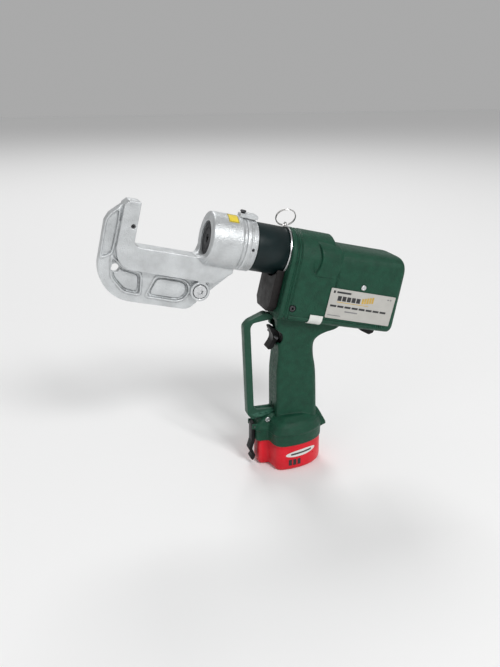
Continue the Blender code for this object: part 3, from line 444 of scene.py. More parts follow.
def web_outline():
    """Side view of the head's thin outer web."""
    corner = 0.042
    outline = [(ANVIL_X, ARM_TOP_Z), (-0.1720, ARM_TOP_Z), (-0.1900, 0.0095), (HEAD_BACK_X, 0.0010)]
    outline += arc(HEAD_BACK_X + corner, HEAD_BOTTOM_Z + corner, corner, 180, 270, 16)
    outline += arc(-0.0900, HEAD_BOTTOM_Z + 0.014, 0.014, 270, 330, 5)
    outline += [(-0.0640, -0.0600), (-0.0425, -0.0360), (-0.0425, -0.0120), (-0.0760, -0.0120),
                (-0.0760, THROAT_Z)]
    return outline + throat_corner()


def block_outline():
    """Side view of the head's thick inner block."""
    outline = [(ANVIL_X, ARM_TOP_Z), (-0.1715, ARM_TOP_Z), (-0.1765, 0.0225), (-0.1775, -0.0250)]
    outline += arc(-0.1555, BLOCK_LINE_Z + 0.021, 0.021, 190, 270, 10)
    outline += [(-0.0620, -0.0480), (-0.0425, -0.0330), (-0.0425, -0.0117)]
    outline += arc(-0.0870, THROAT_Z + 0.0090, 0.0090, 0, -90, 8)
    return outline + throat_corner()


POCKETS = (
    [(-0.1800, 0.0165), (-0.1882, 0.0084), (-0.1915, 0.0004), (-0.1912, -0.0390),
     (-0.1803, -0.0325), (-0.1796, 0.0040)],
    [(-0.1790, -0.0370), (-0.1650, -0.0480), (-0.1450, -0.0505), (-0.1420, -0.0740),
     (-0.1600, -0.0730), (-0.1760, -0.0590)],
    [(-0.1268, -0.0512), (-0.0975, -0.0508), (-0.0895, -0.0545), (-0.0872, -0.0635),
     (-0.0910, -0.0715), (-0.0990, -0.0755), (-0.1345, -0.0748)],
)


def build_head():
    """The C casting, softened in voxels, with rimmed pockets and raised pads in them."""
    thick, web, lip, pocket_floor, pad = 0.0140, 0.0060, 0.0014, 0.0026, 0.0046
    head = solid(prism(block_outline(), -thick, thick), name="head")
    boss = turned([(-0.0788, 0), (-0.0788, 0.0296), (-0.0772, HEAD_RADIUS), (-0.0432, HEAD_RADIUS),
                   (-0.0420, 0.0300), (-0.0383, 0.0300), (-0.0383, 0)], 96)
    lobe = rod(-0.0136, 0.0136, LOBE_RADIUS, 48, "Y", PLUG)
    saddle = solid(turned([(-0.1010, 0), (-0.1010, 0.0226), (-0.0950, 0.0234), (-0.0900, 0.0246),
                           (-0.0860, 0.0262), (-0.0825, 0.0284), (-0.0800, 0.0308),
                           (-0.0700, 0.0308), (-0.0700, 0)], 96))
    dip = [(-0.1100, -0.0290), (-0.1100, -0.0209)] + arc(-0.0880, -0.0115, 0.0092, 270, 355, 10)
    dip += [(-0.0650, -0.0120), (-0.0650, -0.0290)]
    carve(saddle, "INTERSECT", prism(dip, -0.0400, 0.0400))
    flare = bmesh.new()
    flare.from_mesh(saddle.data)
    bpy.data.objects.remove(saddle, do_unlink=True)
    carve(head, "UNION", prism(web_outline(), -web, web), boss, lobe, flare)
    rims, cuts, pads = [], [], []
    for number, outline in enumerate(POCKETS):
        for side in (-1, 1):
            def between(shape, a, b, side=side):
                low, high = sorted((side * a, side * b))
                return prism(rounded(shape, 0.0050), low, high)
            rims.append(between(inset(outline, -0.0016), 0.0050, web + lip))
            cuts.append(between(outline, pocket_floor, web + 0.0040))
            if number:
                pads.append(between(inset(outline, 0.0026), 0.0020, pad))
    carve(head, "UNION", *rims)
    carve(head, "DIFFERENCE", *cuts)
    carve(head, "UNION", *pads)
    bore = turned([(-0.1300, 0), (-0.1300, RAM_RADIUS + GAP), (-0.0597, RAM_RADIUS + GAP),
                   (-0.0597, TUBE_RADIUS + GAP), (-0.0300, TUBE_RADIUS + GAP), (-0.0300, 0)], 96)
    carve(head, "DIFFERENCE", bore, rod(-0.02, 0.02, 0.0046, 32, "Y", TIE_HOLE),
          rod(-0.02, -0.0084, 0.0084, 48, "Y", PLUG),
          rod(-0.02, -0.0100, 0.0024, 24, "Y", ARM_SCREW))
    mould(head, 0.00065, 2, 0.55)
    head.data.transform(BARREL)
    show(head, "head_casting", "head", CAST, ["c_head"], 180)


def socket_screw(name, body, look, node, place, centre, y, radius, deep):
    """A screw head facing -Y with a star-shaped socket; y is its outer face."""
    rim = min(0.0006, radius * 0.2)
    profile = [(y, 0), (y, radius - rim), (y + rim * 0.4, radius - rim * 0.4), (y + rim, radius),
               (y + deep, radius), (y + deep, 0)]
    screw = solid(turned(profile, 48, "Y", centre))
    socket = star(6, radius * 0.52, radius * 0.36, 0.3, (centre[0], centre[2]))
    carve(screw, "DIFFERENCE", prism(rounded(socket, radius * 0.1, 2), y - 0.001, y + deep * 0.55))
    screw.data.transform(place)
    show(screw, name, body, look, [node], 30)


def knurl(along, angle):
    """Diamond knurling on the collar's rear band."""
    if not -0.0312 < along < -0.0256:
        return 0.0
    turn, pitch = 72 * angle, along * 2600
    return -0.00022 * (1 + math.sin(turn + pitch) * math.sin(turn - pitch))


def build_head_fittings():
    """Collar, screws, lock block, ram and label."""
    rear = [(-0.0312 + 0.0056 * i / 12, COLLAR_RADIUS - 0.0001) for i in range(13)]
    collar = solid(turned([(-0.0380, 0.0264), (-0.0380, 0.0293), (-0.0375, 0.0299),
                           (-0.0370, 0.0301), (-0.0330, 0.0301), (-0.0326, 0.0298),
                           (-0.0322, 0.0297), (-0.0318, 0.0299)] + rear
                          + [(-0.0252, 0.0297), (-0.0248, 0.0292), (-0.0246, 0.0285),
                             (-0.0246, 0.0264)], 288, ripple=knurl))
    carve(collar, "DIFFERENCE", rod(-0.0320, -0.0268, 0.0019, 24, "Y", COLLAR_SCREW))
    collar.data.transform(BARREL)
    show(collar, "collar", "head", CAST, ["swivel_collar"])
    socket_screw("collar_grub", "head", DARK, "collar_set_screw", BARREL,
                 COLLAR_SCREW, -0.0291, 0.0017, 0.0016)
    socket_screw("arm_grub", "head", DARK, "anvil_set_screw", BARREL,
                 ARM_SCREW, -0.0130, 0.0021, 0.0026)
    socket_screw("plug_screw", "head", MACHINED, "head_plug_screw", BARREL,
                 PLUG, -0.0140, 0.0078, 0.0055)
    lock = solid(prism(rounded([(-0.0455, 0.0270), (-0.0240, 0.0270), (-0.0240, 0.0345),
                                (-0.0262, 0.0364), (-0.0372, 0.0364), (-0.0378, 0.0352),
                                (-0.0455, 0.0352)], 0.0010), -0.0060, 0.0060))
    carve(lock, "DIFFERENCE", rod(-0.0500, -0.0200, HEAD_RADIUS + GAP, 96),
          rod(0.0200, 0.0400, 0.0027, 32, "Z", LOCK_PIN))
    bevel(lock, 0.0008)
    lock.data.transform(BARREL)
    show(lock, "lock_lug", "head", CAST, ["lock_block"])
    pin = turned([(0.0320, 0), (0.0320, 0.0022), (0.0322, 0.0024), (0.0366, 0.0024),
                  (0.0366, 0.0031), (0.0369, 0.0034), (0.0382, 0.0034), (0.0388, 0.0029),
                  (0.0390, 0.0020), (0.0390, 0)], 32, "Z", LOCK_PIN)
    show(solid(pin, BARREL), "lock_plunger", "lock_pin", DARK, ["lock_pin"])
    front = RAM_FACE_X
    profile = [(front + 0.0040, 0), (front + 0.0040, 0.0046), (front + 0.0003, 0.0046),
               (front, 0.0049), (front, 0.0118), (front + 0.0004, 0.0121), (front + 0.0004, 0.0129),
               (front, 0.0132), (front, 0.0190), (front + 0.0004, 0.0196), (front + 0.0012, 0.0200),
               (-0.0080, RAM_RADIUS), (-0.0080, 0.0221), (-0.0055, 0.0221), (-0.0055, 0.0205),
               (-0.0025, 0.0205), (-0.0025, 0.0221), (0.0, 0.0221), (0.0, 0.0140),
               (-0.0640, 0.0140), (-0.0640, 0)]
    show(solid(turned(profile, 96), BARREL), "ram_piston", "ram", RAM, ["ram"])
    screw = solid(turned([(front + 0.0037, 0), (front + 0.0037, 0.0042), (front + 0.0009, 0.0042),
                          (front + 0.0004, 0.0038), (front + 0.0004, 0)], 48))
    socket = star(5, 0.0036, 0.0036 * 0.62)
    carve(screw, "DIFFERENCE", prism(socket, front - 0.001, front + 0.0028, "X"))
    screw.data.transform(BARREL)
    show(screw, "die_screw", "ram", BLACK, ["ram_die_screw"], 30)
    curved_label("yellow_patch", YELLOW, 0.0, -0.0608, -0.0488, 93, 126,
                 ["head_label"])
    for x0, x1 in ((-0.0606, -0.0602), (-0.0494, -0.0490)):
        curved_label("yellow_patch_edge", INK, 0.00008, x0, x1, 94, 125)
    for a0, a1 in ((94, 95), (124, 125)):
        curved_label("yellow_patch_side", INK, 0.00008, -0.0606, -0.0490, a0, a1)


def curved_label(name, look, lift, x0, x1, a0, a1, replaces=()):
    """A thin patch on the boss, from x0 to x1 and from angle a0 to a1 (0 is +Y, 90 is up)."""
    low, high = HEAD_RADIUS + 0.00005 + lift, HEAD_RADIUS + 0.00025 + lift
    steps = max(2, int(abs(a1 - a0) / 3))
    ring = arc(0, 0, high, a0, a1, steps) + arc(0, 0, low, a1, a0, steps)
    bm = prism(ring, x0, x1, "X")
    return show(solid(bm, BARREL), name, "head", look, replaces)


# ---------------------------------------------------------------- neck and front
def build_neck():
    """Sleeve, bright rim, front block, eye and split ring."""
    wave = [(-0.0240 + 0.0004 * i, NECK_RADIUS - (0.0004 if i < 2 else 0)) for i in range(3)]
    sleeve = turned([(-0.0243, TUBE_RADIUS + 0.0004), (-0.0243, 0.0272)] + wave
                    + [(0.0120, NECK_RADIUS), (0.0124, NECK_RADIUS - 0.0003), (0.0182, 0.0280),
                       (0.0182, TUBE_RADIUS + 0.0004)], 128)
    show(solid(sleeve, BARREL), "neck_cover", "frame", NECK, ["neck_sleeve"])
    rim = turned([(0.0139, 0.0286), (0.0139, 0.0294), (0.0142, 0.0298), (0.0154, 0.0300),
                  (0.0157, 0.0296), (0.0157, 0.0286)], 128)
    show(solid(rim, BARREL), "neck_ring", "frame", MACHINED, ["neck_rim"])
    outline = [(-0.0240, -0.0180), (-0.0240, -0.0620), (-0.0160, -0.0700), (0.0160, -0.0700),
               (0.0240, -0.0620), (0.0240, -0.0180)]
    front = solid(prism(outline, 0.0060, 0.0157, "X"))
    carve(front, "DIFFERENCE", rod(0.0, 0.0200, 0.0303, 96))
    bevel(front, 0.0018, 4)
    front.data.transform(BARREL)
    show(front, "nose_block", "frame", BROWN_BLACK, ["front_block"])
    eye = solid(prism([(-0.0035, 0.0286), (0.0035, 0.0286), (0.0035, 0.0320)]
                      + arc(0, RING_EYE[2], 0.0038, 22, 158, 14) + [(-0.0035, 0.0320)],
                      0.0108, 0.0124, "X"))
    carve(eye, "DIFFERENCE", rod(0.0080, 0.0180, 0.0016, 32, "X", (0, 0, RING_EYE[2])))
    bevel(eye, 0.0003, 2)
    eye.data.transform(BARREL)
    show(eye, "ring_eye", "frame", CHROME, ["strap_eye"])
    build_ring()


def build_ring():
    """A split ring of two turns of wire, hanging in its eye."""
    radius, wire, steps, turns = 0.0115, 0.00062, 72, 1.92
    count = int(steps * turns)
    place = BARREL @ Matrix.Translation(RING_EYE) @ Matrix.Rotation(math.radians(30), 4, "X")
    rings = []
    for i in range(count + 1):
        angle = 2 * math.pi * i / steps + math.pi
        side = 0.00130 * (min(max((i / count - 0.5) * 6, -1), 1)) / 2
        centre = Vector((radius * math.sin(angle) - 0.0034, side,
                         radius * (1 - math.cos(angle)) - 0.0003))
        out = Vector((math.sin(angle), 0, -math.cos(angle)))
        rings.append([tuple(centre + (out * math.cos(a) + Vector((0, 1, 0)) * math.sin(a)) * wire)
                      for a in [2 * math.pi * k / 12 for k in range(12)]])
    show(solid(loft(rings), place), "split_ring", "strap_ring", CHROME, ["strap_ring"])


# ---------------------------------------------------------------- housing
def house_top(x):
    """Height of the housing's top along the barrel."""
    if x < 0.0700:
        return FRONT_TOP_Z
    if x < 0.0780:
        return FRONT_TOP_Z + (REAR_TOP_Z - FRONT_TOP_Z) * (x - 0.0700) / 0.0080
    over = max(0.0, x - (HOUSE_REAR_X - REAR_CORNER))
    return REAR_TOP_Z - REAR_CORNER + math.sqrt(max(REAR_CORNER ** 2 - over ** 2, 0))


def rear_power(x):
    """The motor casing's section gets squarer towards its rear."""
    return 3.0 + 1.6 * max(0.0, x - 0.0790) / (HOUSE_REAR_X - 0.0790)


def house_ring(x, step, half=HOUSE_HALF, power=3.0, low=None, top=None):
    """One section of the housing, drawn in by step; power squares its shoulders.

    low cuts it off at a height instead of its real bottom, and top sets its top's height.
    """
    half -= step
    top = (house_top(x) if top is None else top) - step
    bottom = -0.0744 + 0.0195 * (x - HOUSE_FRONT_X) + step
    corner = 0.0070
    if low is not None:
        bottom, corner = low, 0.0010
    shoulder = min(-0.0060, top - 0.0120)
    points = []
    for i in range(33):
        angle = math.pi * i / 32
        across = math.copysign(abs(math.cos(angle)) ** (2 / power), math.cos(angle))
        points.append((half * across, shoulder + (top - shoulder) * math.sin(angle) ** (2 / power)))
    points += arc(corner - half, bottom + corner, corner, 180, 270, 8)
    points += arc(half - corner, bottom + corner, corner, 270, 360, 8)
    lean = max(0.0, (x - 0.1000) / (HOUSE_REAR_X - 0.1000))
    return [(x - lean * 0.04 * (z + 0.0690), y, z) for y, z in points]


def grip_rings(step):
    """The grip's sections, in world coordinates."""
    rows = smooth_rows(((0.0525, -0.0200, 0.0330, 0.0190), (0.0765, -0.0205, 0.0325, 0.0190),
                        (0.1205, -0.0208, 0.0305, 0.0190), (0.1425, -0.0190, 0.0270, 0.0190),
                        (0.1585, -0.0195, 0.0270, 0.0195), (0.1665, -0.0205, 0.0330, 0.0200),
                        (0.1715, -0.0210, 0.0440, 0.0205), (0.1755, -0.0215, 0.0580, 0.0210),
                        (0.1875, -0.0220, 0.0670, 0.0220), (0.2015, -0.0225, 0.0670, 0.0220)), 5)
    rings = []
    for z, front, rear, half in rows:
        r, q = 0.0080 - step / 2, 0.0042 - step / 2
        x0, x1, w = front + step, rear - step, half - step
        plan = (arc(x1 - r, w - r, r, 0, 90, 6) + arc(x0 + q, w - 0.0015 - q, q, 90, 180, 6)
                + arc(x0 + q, q + 0.0015 - w, q, 180, 270, 6) + arc(x1 - r, r - w, r, 270, 360, 6))
        rings.append([(x, y, z) for x, y in plan])
    return rings


def battery_plan(grow=0.0, nose_x=BATTERY_NOSE_X, fine=24):
    """Plan of the battery and the foot: a narrow nose, then a wide bullet."""
    nose, wide = 0.0120 + grow, BATTERY_HALF + grow
    upper = []
    for i in range(fine + 1):
        angle = math.pi / 2 * i / fine
        x = BATTERY_WIDE_X + (BATTERY_TAIL_X + grow - BATTERY_WIDE_X) * math.cos(angle) ** (2 / 2.1)
        upper.append((x, wide * math.sin(angle) ** (2 / 2.1)))
    upper += arc(-0.0160, BATTERY_HALF - 0.0110, 0.0110 + grow, 90, 165, 12)[1:]
    upper += [(-0.0290 - grow, nose + 0.0030), (-0.0300 - grow, nose + 0.0013),
              (-0.0315 - grow, nose + 0.0005)]
    upper += arc(nose_x - grow + 0.0040, nose - 0.0040, 0.0040, 90, 180, 8)
    return upper + [(x, -y) for x, y in reversed(upper[1:])]


def foot_ring(grow, factor, z):
    """The foot's plan at a height, drawn in towards the wide part's centre."""
    return [(0.0040 + (x - 0.0040) * factor, y * factor, z)
            for x, y in battery_plan(grow, FOOT_NOSE_X)]


def foot_solid(step):
    """The flared foot; step makes its hollow."""
    grow, top = 0.0010 - step, FOOT_TOP_Z - step
    rings = [foot_ring(grow, 1.0, FOOT_BOTTOM_Z - (0.0100 if step else 0.0))]
    if step:
        rings.append(foot_ring(grow, 1.0, top - 0.0270))
    else:
        rings += [foot_ring(grow, 1.0, 0.0470), foot_ring(0.0018, 1.0, 0.0478),
                  foot_ring(0.0018, 1.0, 0.0495)]
    rings += [foot_ring(grow, factor, top - drop) for factor, drop in
              ((0.975, 0.0150), (0.93, 0.0105), (0.85, 0.0070), (0.64, 0.0012), (0.46, 0.0))]
    return loft(rings)


def in_barrel(bm):
    """Move a mesh from world to barrel coordinates."""
    bm.transform(BARREL.inverted())
    return bm


def build_housing():
    """Two hollow halves: front arch, rear motor casing with its crescent, grip and foot."""
    half = HOUSE_HALF - 0.0003
    front = [(0.0160, 0.0014), (0.0168, 0.0002), (0.0210, 0.0), (0.0222, 0.0019), (0.0240, 0.0019),
             (0.0248, 0.0002), (0.0262, 0.0002), (0.0269, 0.0014), (0.0279, 0.0014), (0.0288, 0.0),
             (0.0700, 0.0), (0.0780, 0.0), (0.0795, 0.0030)]
    shell = solid(loft([house_ring(x, step, half, 2.0) for x, step in front]), name="shell")
    rear = [(0.0745, 0.0012), (0.0752, 0.0), (HOUSE_REAR_X - REAR_CORNER, 0.0)]
    rear += [(HOUSE_REAR_X - REAR_CORNER * (1 - math.sin(math.radians(a))),
              0.0060 * (1 - math.cos(math.radians(a))))
             for a in (15, 30, 45, 58, 68, 76, 82, 86, 89)]
    bulge = []
    for x, step, bow in ((0.0474, 0.0080, 0.0045), (0.0477, 0.0008, 0.0045), (0.0484, 0.0, 0.0045),
                         (0.0560, 0.0, 0.0), (0.0640, 0.0002, 0.0), (0.0765, 0.0014, 0.0),
                         (0.0812, 0.0040, 0.0)):
        ring = house_ring(x, step, HOUSE_HALF + 0.0022, 3.2, -0.0160, REAR_TOP_Z + 0.0030)
        bulge.append([(px + bow * max(0.0, 1 - ((z - 0.0020) / 0.0190) ** 2),
                       y * (1 - 0.028 * min(1.0, max(0.0, -z / 0.0160))), z) for px, y, z in ring])
    notch = prism([(0.0748, -0.0160), (0.0772, -0.0060), (0.0784, -0.0060), (0.0800, -0.0160)],
                  -0.05, -0.0350)

    def bow(depth, steps):
        return [(0.0478 + depth * (1 - (i / 8 - 1) ** 2), 0.0020 + 0.0165 * (i / 8 - 1))
                for i in steps]

    crescent = bow(-0.0050, range(17)) + bow(0.0040, range(15, 0, -1))
    grooves = both_sides([(0.0190, -0.0684), (0.1610, -0.0660), (0.1610, -0.0642),
                          (0.0190, -0.0664)], 0.0346, 0.05)
    grooves += both_sides(crescent, 0.0347, 0.0375)
    grooves += both_sides([(0.0762, -0.0262), (0.0762, -0.0110), (0.0792, -0.0110),
                           (0.0780, -0.0262)], 0.0347, 0.05)
    beak = prism([(0.0260, 0.0765), (0.0325, 0.0725), (0.0370, 0.0670), (0.0475, 0.0480),
                  (0.0480, 0.0445), (0.0405, 0.0415), (0.0260, 0.0415)], -0.0110, 0.0110)
    lugs = both_sides([(-0.0500, 0.0490), (-0.0395, 0.0490), (-0.0395, 0.0560), (-0.0500, 0.0560)],
                      0.0075, 0.0098)
    ears = both_sides([(0.1315, -0.0765), (0.1375, -0.0765), (0.1375, -0.0715), (0.1315, -0.0715)],
                      0.0044, 0.0066)
    carve(shell, "UNION",
          loft([house_ring(x, step, power=rear_power(x), top=REAR_TOP_Z if x < 0.1 else None)
                for x, step in rear]),
          loft(bulge),
          in_barrel(loft(grip_rings(0.0))), in_barrel(foot_solid(0.0)), in_barrel(beak),
          *[in_barrel(lug) for lug in lugs], *ears)
    inside = [(HOUSE_FRONT_X + WALL, WALL + 0.0016), (0.0294, WALL + 0.0016), (0.0306, WALL),
              (0.0700, WALL), (0.0780, WALL),
              (HOUSE_REAR_X - WALL - 0.0150, WALL), (HOUSE_REAR_X - WALL - 0.0090, WALL),
              (HOUSE_REAR_X - WALL - 0.0045, WALL + 0.0002), (HOUSE_REAR_X - WALL, WALL + 0.0032)]
    horn = TRIGGER_HALF + 0.0010
    carve(shell, "DIFFERENCE",
          loft([house_ring(x, step, power=2.0 if x < 0.074 else rear_power(x))
                for x, step in inside]),
          in_barrel(loft(grip_rings(WALL))), in_barrel(foot_solid(WALL)),
          rod(0.0100, 0.0212, NECK_RADIUS + 0.0004, 94),
          in_barrel(block(-0.0600, -0.0192, -0.0066, 0.0066, 0.0621, 0.0780)),
          in_barrel(rod(-0.0260, 0.0260, 0.0104, 48, "Y", TRIGGER_PIVOT)),
          in_barrel(block(-0.0400, -0.0168, -horn, horn, 0.1579, 0.1891)),
          rod(-0.0450, -0.0300, 0.0043, 40, "Y", FRONT_SCREW),
          in_barrel(rod(-0.0250, -0.0112, 0.0043, 40, "Y", GUARD_SCREW)), notch, *grooves)
    mould(shell, 0.00072, 2, 0.45)
    shell.data.transform(BARREL)
    for name, side in (("left", -1), ("right", 1)):
        split_half(shell, "casing_" + name, side, "housing_" + name)
    bpy.data.objects.remove(shell, do_unlink=True)
    ribs = [block(0.1390 + 0.0026 * i, 0.1402 + 0.0026 * i, -0.0366, -0.0350, -0.0668,
                  -0.0634) for i in range(5)]
    grille = bevel(solid(many(ribs)), 0.0003, 2)
    grille.data.transform(BARREL)
    show(grille, "casing_ribs", "frame", GREEN)


def split_half(shell, name, side, node):
    """One half of the shell, closed at the middle plane."""
    bm = bmesh.new()
    bm.from_mesh(shell.data)
    bmesh.ops.bisect_plane(bm, geom=bm.verts[:] + bm.edges[:] + bm.faces[:], dist=1e-7,
                           plane_co=(0, side * 0.00015, 0), plane_no=(0, side, 0), clear_inner=True)
    rim = [edge for edge in bm.edges if edge.is_boundary]
    bmesh.ops.triangle_fill(bm, edges=rim, use_beauty=True)
    show(solid(bm), name, "frame", GREEN, [node], 60)


# ---------------------------------------------------------------- trim on the housing
def bars(rows, y, thick):
    """Flat bars (x0, x1, z0, z1) standing a little proud of a plate that faces -Y."""
    return many([block(x0, x1, y - thick, y, z0, z1) for x0, x1, z0, z1 in rows])


def build_trim():
    """Nameplate with generic bars, side tag and housing screws."""
    face = -HOUSE_HALF - GAP
    corners = [(0.0724, -0.0626), (0.1586, -0.0626), (0.1586, -0.0262), (0.0724, -0.0262)]
    plate = bevel(solid(prism(rounded(corners, 0.0012), face - 0.0007, face)), 0.00025, 2)
    plate.data.transform(BARREL)
    show(plate, "plate", "frame", CREAM, ["nameplate"])
    dark = [(0.0760, 0.0785, -0.0318, -0.0288), (0.0805, 0.0990, -0.0314, -0.0292)]
    dark += [(0.0830 + 0.0062 * i, 0.0880 + 0.0062 * i, -0.0404, -0.0346) for i in range(5)]
    dark += [(0.0756 + 0.0095 * i, 0.0836 + 0.0095 * i, -0.0484, -0.0460) for i in range(8)]
    gold = [(0.1150 + 0.0032 * i, 0.1175 + 0.0032 * i, -0.0404 + 0.0006 * i, -0.0340 + 0.0009 * i)
            for i in range(5)] + [(0.0830, 0.1250, -0.0424, -0.0417)]
    grey = [(0.0960, 0.1130, -0.0534, -0.0518), (0.0750, 0.0920, -0.0592, -0.0582),
            (0.1480, 0.1500, -0.0316, -0.0300), (0.1515, 0.1535, -0.0316, -0.0300)]
    for name, look, rows in (("plate_dark_bars", INK, dark), ("plate_gold_bars", GOLD_INK, gold),
                             ("plate_grey_bars", GREY_INK, grey)):
        show(solid(bars(rows, face - 0.00068, 0.00012), BARREL), name, "frame", look)
    outer = [(-0.0370, -0.0620)] + arc(-0.0280, -0.0655, 0.0090, 180, 266, 12)
    inner = arc(-0.0280, -0.0655, 0.0084, 266, 180, 12) + [(-0.0364, -0.0620)]
    show(solid(prism(outer + inner, 0.0540, 0.0705, "X"), BARREL), "small_tag", "frame", WHITE,
         ["side_tag"])
    socket_screw("casing_screw_front", "frame", DARK, "housing_screw_front", BARREL,
                 FRONT_SCREW, -0.0350, 0.0038, 0.0044)
    socket_screw("casing_screw_side", "frame", MACHINED, "housing_screw_side", BARREL,
                 SIDE_SCREW, -0.0376, 0.0033, 0.0013)
    socket_screw("guard_bolt", "frame", MACHINED, "guard_screw", HERE,
                 GUARD_SCREW, -0.0128, 0.0035, 0.0013)


def build_guard():
    """The hand guard: one bent bar with a channel along its lower arm."""
    outline = [(-0.0547, 0.0677), (-0.0594, 0.1822), (-0.0581, 0.1850), (-0.0537, 0.1897),
               (-0.0326, 0.1986), (-0.0285, 0.1968), (-0.0231, 0.1955), (-0.0231, 0.1902),
               (-0.0290, 0.1895), (-0.0473, 0.1870), (-0.0500, 0.1840), (-0.0512, 0.1801),
               (-0.0468, 0.0775), (-0.0455, 0.0750), (-0.0430, 0.0737), (-0.0205, 0.0737),
               (-0.0205, 0.0627), (-0.0450, 0.0627), (-0.0486, 0.0610)]
    guard = solid(prism(rounded(outline, 0.0025, 3), -0.0060, 0.0060))
    carve(guard, "DIFFERENCE", block(-0.0425, -0.0150, -0.0034, 0.0034, 0.0722, 0.0800),
          block(-0.0440, -0.0150, -0.0080, -0.0054, 0.0664, 0.0684),
          block(-0.0440, -0.0150, 0.0054, 0.0080, 0.0664, 0.0684))
    bevel(guard, 0.0012, 3, 40)
    show(guard, "guard_bar", "frame", GREEN_GUARD, ["hand_guard"])


# ---------------------------------------------------------------- trigger, latch and lever
def build_trigger():
    """Rocker trigger with two horns."""
    outline = arc(0, 0, 0.0095, -60, 60, 16)
    outline += [(0.0025, 0.0102), (-0.0008, 0.0110), (-0.0024, 0.0098), (-0.0010, 0.0062),
                (0.0009, 0.0020), (0.0016, -0.0023), (0.0009, -0.0060), (-0.0014, -0.0100),
                (-0.0042, -0.0140), (-0.0053, -0.0156), (-0.0042, -0.0168), (-0.0005, -0.0164),
                (0.0028, -0.0138), (0.0036, -0.0110)]
    rocker = solid(prism(rounded(outline, 0.0012, 2), -TRIGGER_HALF, TRIGGER_HALF))
    mould(rocker, 0.00040, 2, 0.6)
    carve(rocker, "DIFFERENCE", rod(-0.02, 0.02, 0.0016, 24, "Y", TRIGGER_HOLE))
    rocker.data.transform(Matrix.Translation(TRIGGER_PIVOT))
    show(rocker, "rocker", "trigger", BLACK, ["trigger"], 180)


def build_latch():
    """Springy battery catch with its thumb ribs."""
    strap = [(0.0015, 0.0020), (0.0015, -0.0210), (-0.0020, -0.0320), (0.0020, -0.0410),
             (0.0012, -0.0450), (-0.0012, -0.0485), (-0.0045, -0.0450), (-0.0018, -0.0410),
             (-0.0062, -0.0325), (-0.0028, -0.0210), (-0.0028, 0.0020)]
    latch = solid(prism(rounded(strap, 0.0010, 3), -0.0060, 0.0060))
    ribs = [rod(-0.0045, 0.0045, 0.0006, 12, "Y", (-0.0030 - 0.0008 * i, 0, -0.0225 - 0.0026 * i))
            for i in range(4)]
    carve(latch, "UNION", rod(-0.0070, 0.0070, 0.0026, 32, "Y"), *ribs)
    carve(latch, "DIFFERENCE", rod(-0.01, 0.01, 0.0014, 24, "Y"))
    bevel(latch, 0.0004, 2, 50)
    latch.data.transform(Matrix.Translation(LATCH_PIVOT))
    show(latch, "catch", "battery_latch", BLACK, ["battery_latch"])


def build_lever():
    """Pressure release lever under the rear."""
    neck = [(-0.0018, 0.0012), (0.0215, 0.0012), (0.0232, -0.0010), (0.0220, -0.0062),
            (0.0170, -0.0092), (0.0020, -0.0048), (-0.0018, -0.0018)]
    pad = [(0.0045, 0.0012), (0.0215, 0.0012), (0.0232, -0.0010), (0.0220, -0.0062),
           (0.0170, -0.0092), (0.0045, -0.0058)]
    lever = solid(prism(rounded(neck, 0.0010, 3), -0.0041, 0.0041))
    carve(lever, "UNION", prism(rounded(pad, 0.0010, 3), -0.0098, 0.0098))
    carve(lever, "DIFFERENCE", rod(-0.02, 0.02, 0.0014, 24, "Y"))
    bevel(lever, 0.0008, 3, 45)
    lever.data.transform(BARREL @ Matrix.Translation(LEVER_PIVOT))
    show(lever, "relief_lever", "release_lever", BLACK, ["release_lever"])


# ---------------------------------------------------------------- battery
def on_battery(s, z, lift):
    """A point on the battery's -Y side; s runs along the wall from its widest point towards +X."""
    plan = [p for p in battery_plan(lift, fine=60) if p[1] <= 0 and p[0] > -0.0270]
    plan.sort(key=lambda p: math.atan2(p[1], p[0] - 0.0040))
    lengths, total = [0.0], 0.0
    for a, b in zip(plan, plan[1:]):
        total += math.dist(a, b)
        lengths.append(total)
    start = min(range(len(plan)), key=lambda i: plan[i][1])
    target = lengths[start] + s
    for i in range(len(plan) - 1):
        if lengths[i] <= target <= lengths[i + 1]:
            t = (target - lengths[i]) / max(lengths[i + 1] - lengths[i], 1e-9)
            x = plan[i][0] + (plan[i + 1][0] - plan[i][0]) * t
            y = plan[i][1] + (plan[i + 1][1] - plan[i][1]) * t
            return (x, y, z)
    return (*plan[-1], z)


def wrapped(outline_at, columns, lift, thick):
    """A thin solid wrapped on the battery: outline_at(u) gives (s, low z, high z) for u in 0..1."""
    rings = []
    for i in range(columns + 1):
        s, low, high = outline_at(i / columns)
        rings.append([on_battery(s, low, lift), on_battery(s, high, lift),
                      on_battery(s, high, lift + thick), on_battery(s, low, lift + thick)])
    return loft(rings)


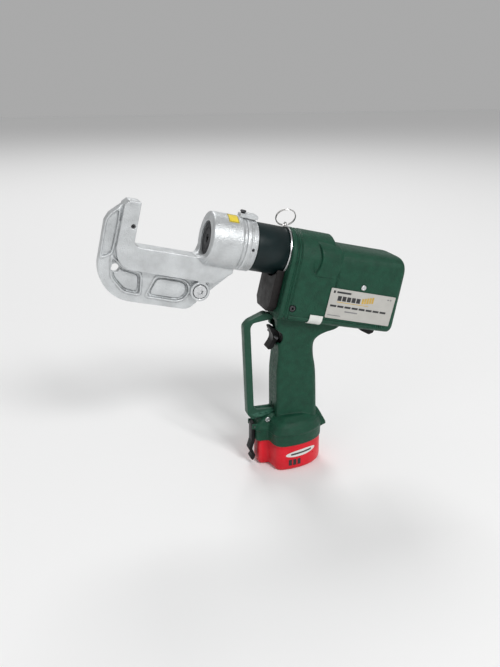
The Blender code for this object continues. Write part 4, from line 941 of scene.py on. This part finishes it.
def build_battery():
    """Red case with a lens-shaped sticker and generic marks; its cover and stem stay CAD."""
    lower = FOOT_BOTTOM_Z - GAP
    outer = [(0.0, -0.0034), (0.0004, -0.0022), (0.0012, -0.0012), (0.0024, -0.0004), (0.0040, 0.0),
             (0.0080, 0.0002), (0.0290, 0.0), (0.0298, -0.0004), (lower - 0.0012, -0.0004),
             (lower - 0.0003, -0.0006), (lower, -0.0010)]
    inner = [(lower, -0.0020), (lower - 0.0006, -WALL), (0.0040, -WALL), (0.0030, -0.0036)]
    case = loft([[(x, y, z) for x, y in battery_plan(grow)] for z, grow in outer + inner])
    show(solid(case), "battery_shell", "battery", RED, ["battery_case"], 50)

    def lens(u):
        swell = 0.0042 * math.sqrt(max(1 - (2 * u - 1) ** 2, 0.0004))
        middle = 0.0205 + 0.0026 * u
        return -0.0030 + 0.0440 * u, middle - swell, middle + swell

    def lens_dark(u):
        swell, middle = 0.0011, 0.0210 + 0.0018 * u
        return 0.0040 + 0.0300 * u, middle - swell, middle + swell

    show(solid(wrapped(lens, 40, 0.00012, 0.00016)), "sticker", "battery", WHITE)
    bar = solid(wrapped(lens_dark, 24, 0.00024, 0.00012))
    show(bar, "sticker_bar", "battery", INK)
    marks = []
    for i in range(3):
        def slanted(u, i=i):
            return 0.0010 + 0.0060 * i + 0.0044 * u, 0.0064, 0.0142
        marks.append(wrapped(slanted, 4, 0.00012, 0.00014))
    show(solid(many(marks)), "battery_marks", "battery", INK)


# ---------------------------------------------------------------- stage
def build_stage():
    """Pale floor, soft lights and the camera."""
    bm = bmesh.new()
    bmesh.ops.create_grid(bm, x_segments=1, y_segments=1, size=8.0)
    floor = solid(bm, Matrix.Translation((0, 0, FLOOR_Z - 0.0002)), "floor")
    pale = bpy.data.materials.new("pale_floor")
    pale.use_nodes = True
    shader = pale.node_tree.nodes["Principled BSDF"]
    shader.inputs["Base Color"].default_value = (0.93, 0.93, 0.93, 1)
    shader.inputs["Roughness"].default_value = 0.9
    floor.data.materials.append(pale)
    world = bpy.data.worlds.new("studio")
    world.use_nodes = True
    world.node_tree.nodes["Background"].inputs["Color"].default_value = (1, 1, 1, 1)
    world.node_tree.nodes["Background"].inputs["Strength"].default_value = 0.40
    scene = bpy.context.scene
    scene.world = world
    target, distance = Vector((-0.050, 0.0, 0.1725)), 0.9
    for name, place, size, power in (("key", (0.90, -3.10, 2.90), 1.2, 92.0),
                                     ("fill", (-2.60, -2.00, 1.90), 1.6, 9.0),
                                     ("back", (0.40, 2.80, 3.20), 1.5, 50.0)):
        lamp = bpy.data.lights.new(name, "AREA")
        lamp.size, lamp.energy = size, power
        obj = bpy.data.objects.new(name, lamp)
        obj.location = place
        obj.rotation_euler = (Vector(place) - target).to_track_quat("Z", "Y").to_euler()
        scene.collection.objects.link(obj)
    lens = bpy.data.cameras.new("camera")
    lens.lens, lens.sensor_width = 40.48, 36.0
    camera = bpy.data.objects.new("camera", lens)
    away = Vector((-0.2791, -0.9016, 0.3305)).normalized()
    camera.location = target + away * distance
    camera.rotation_euler = away.to_track_quat("Z", "Y").to_euler()
    scene.collection.objects.link(camera)
    scene.camera = camera
    scene.view_settings.view_transform = "Standard"


paint_cad_nodes()
build_head()
build_head_fittings()
build_neck()
build_housing()
build_trim()
build_guard()
build_trigger()
build_latch()
build_lever()
build_battery()
build_stage()
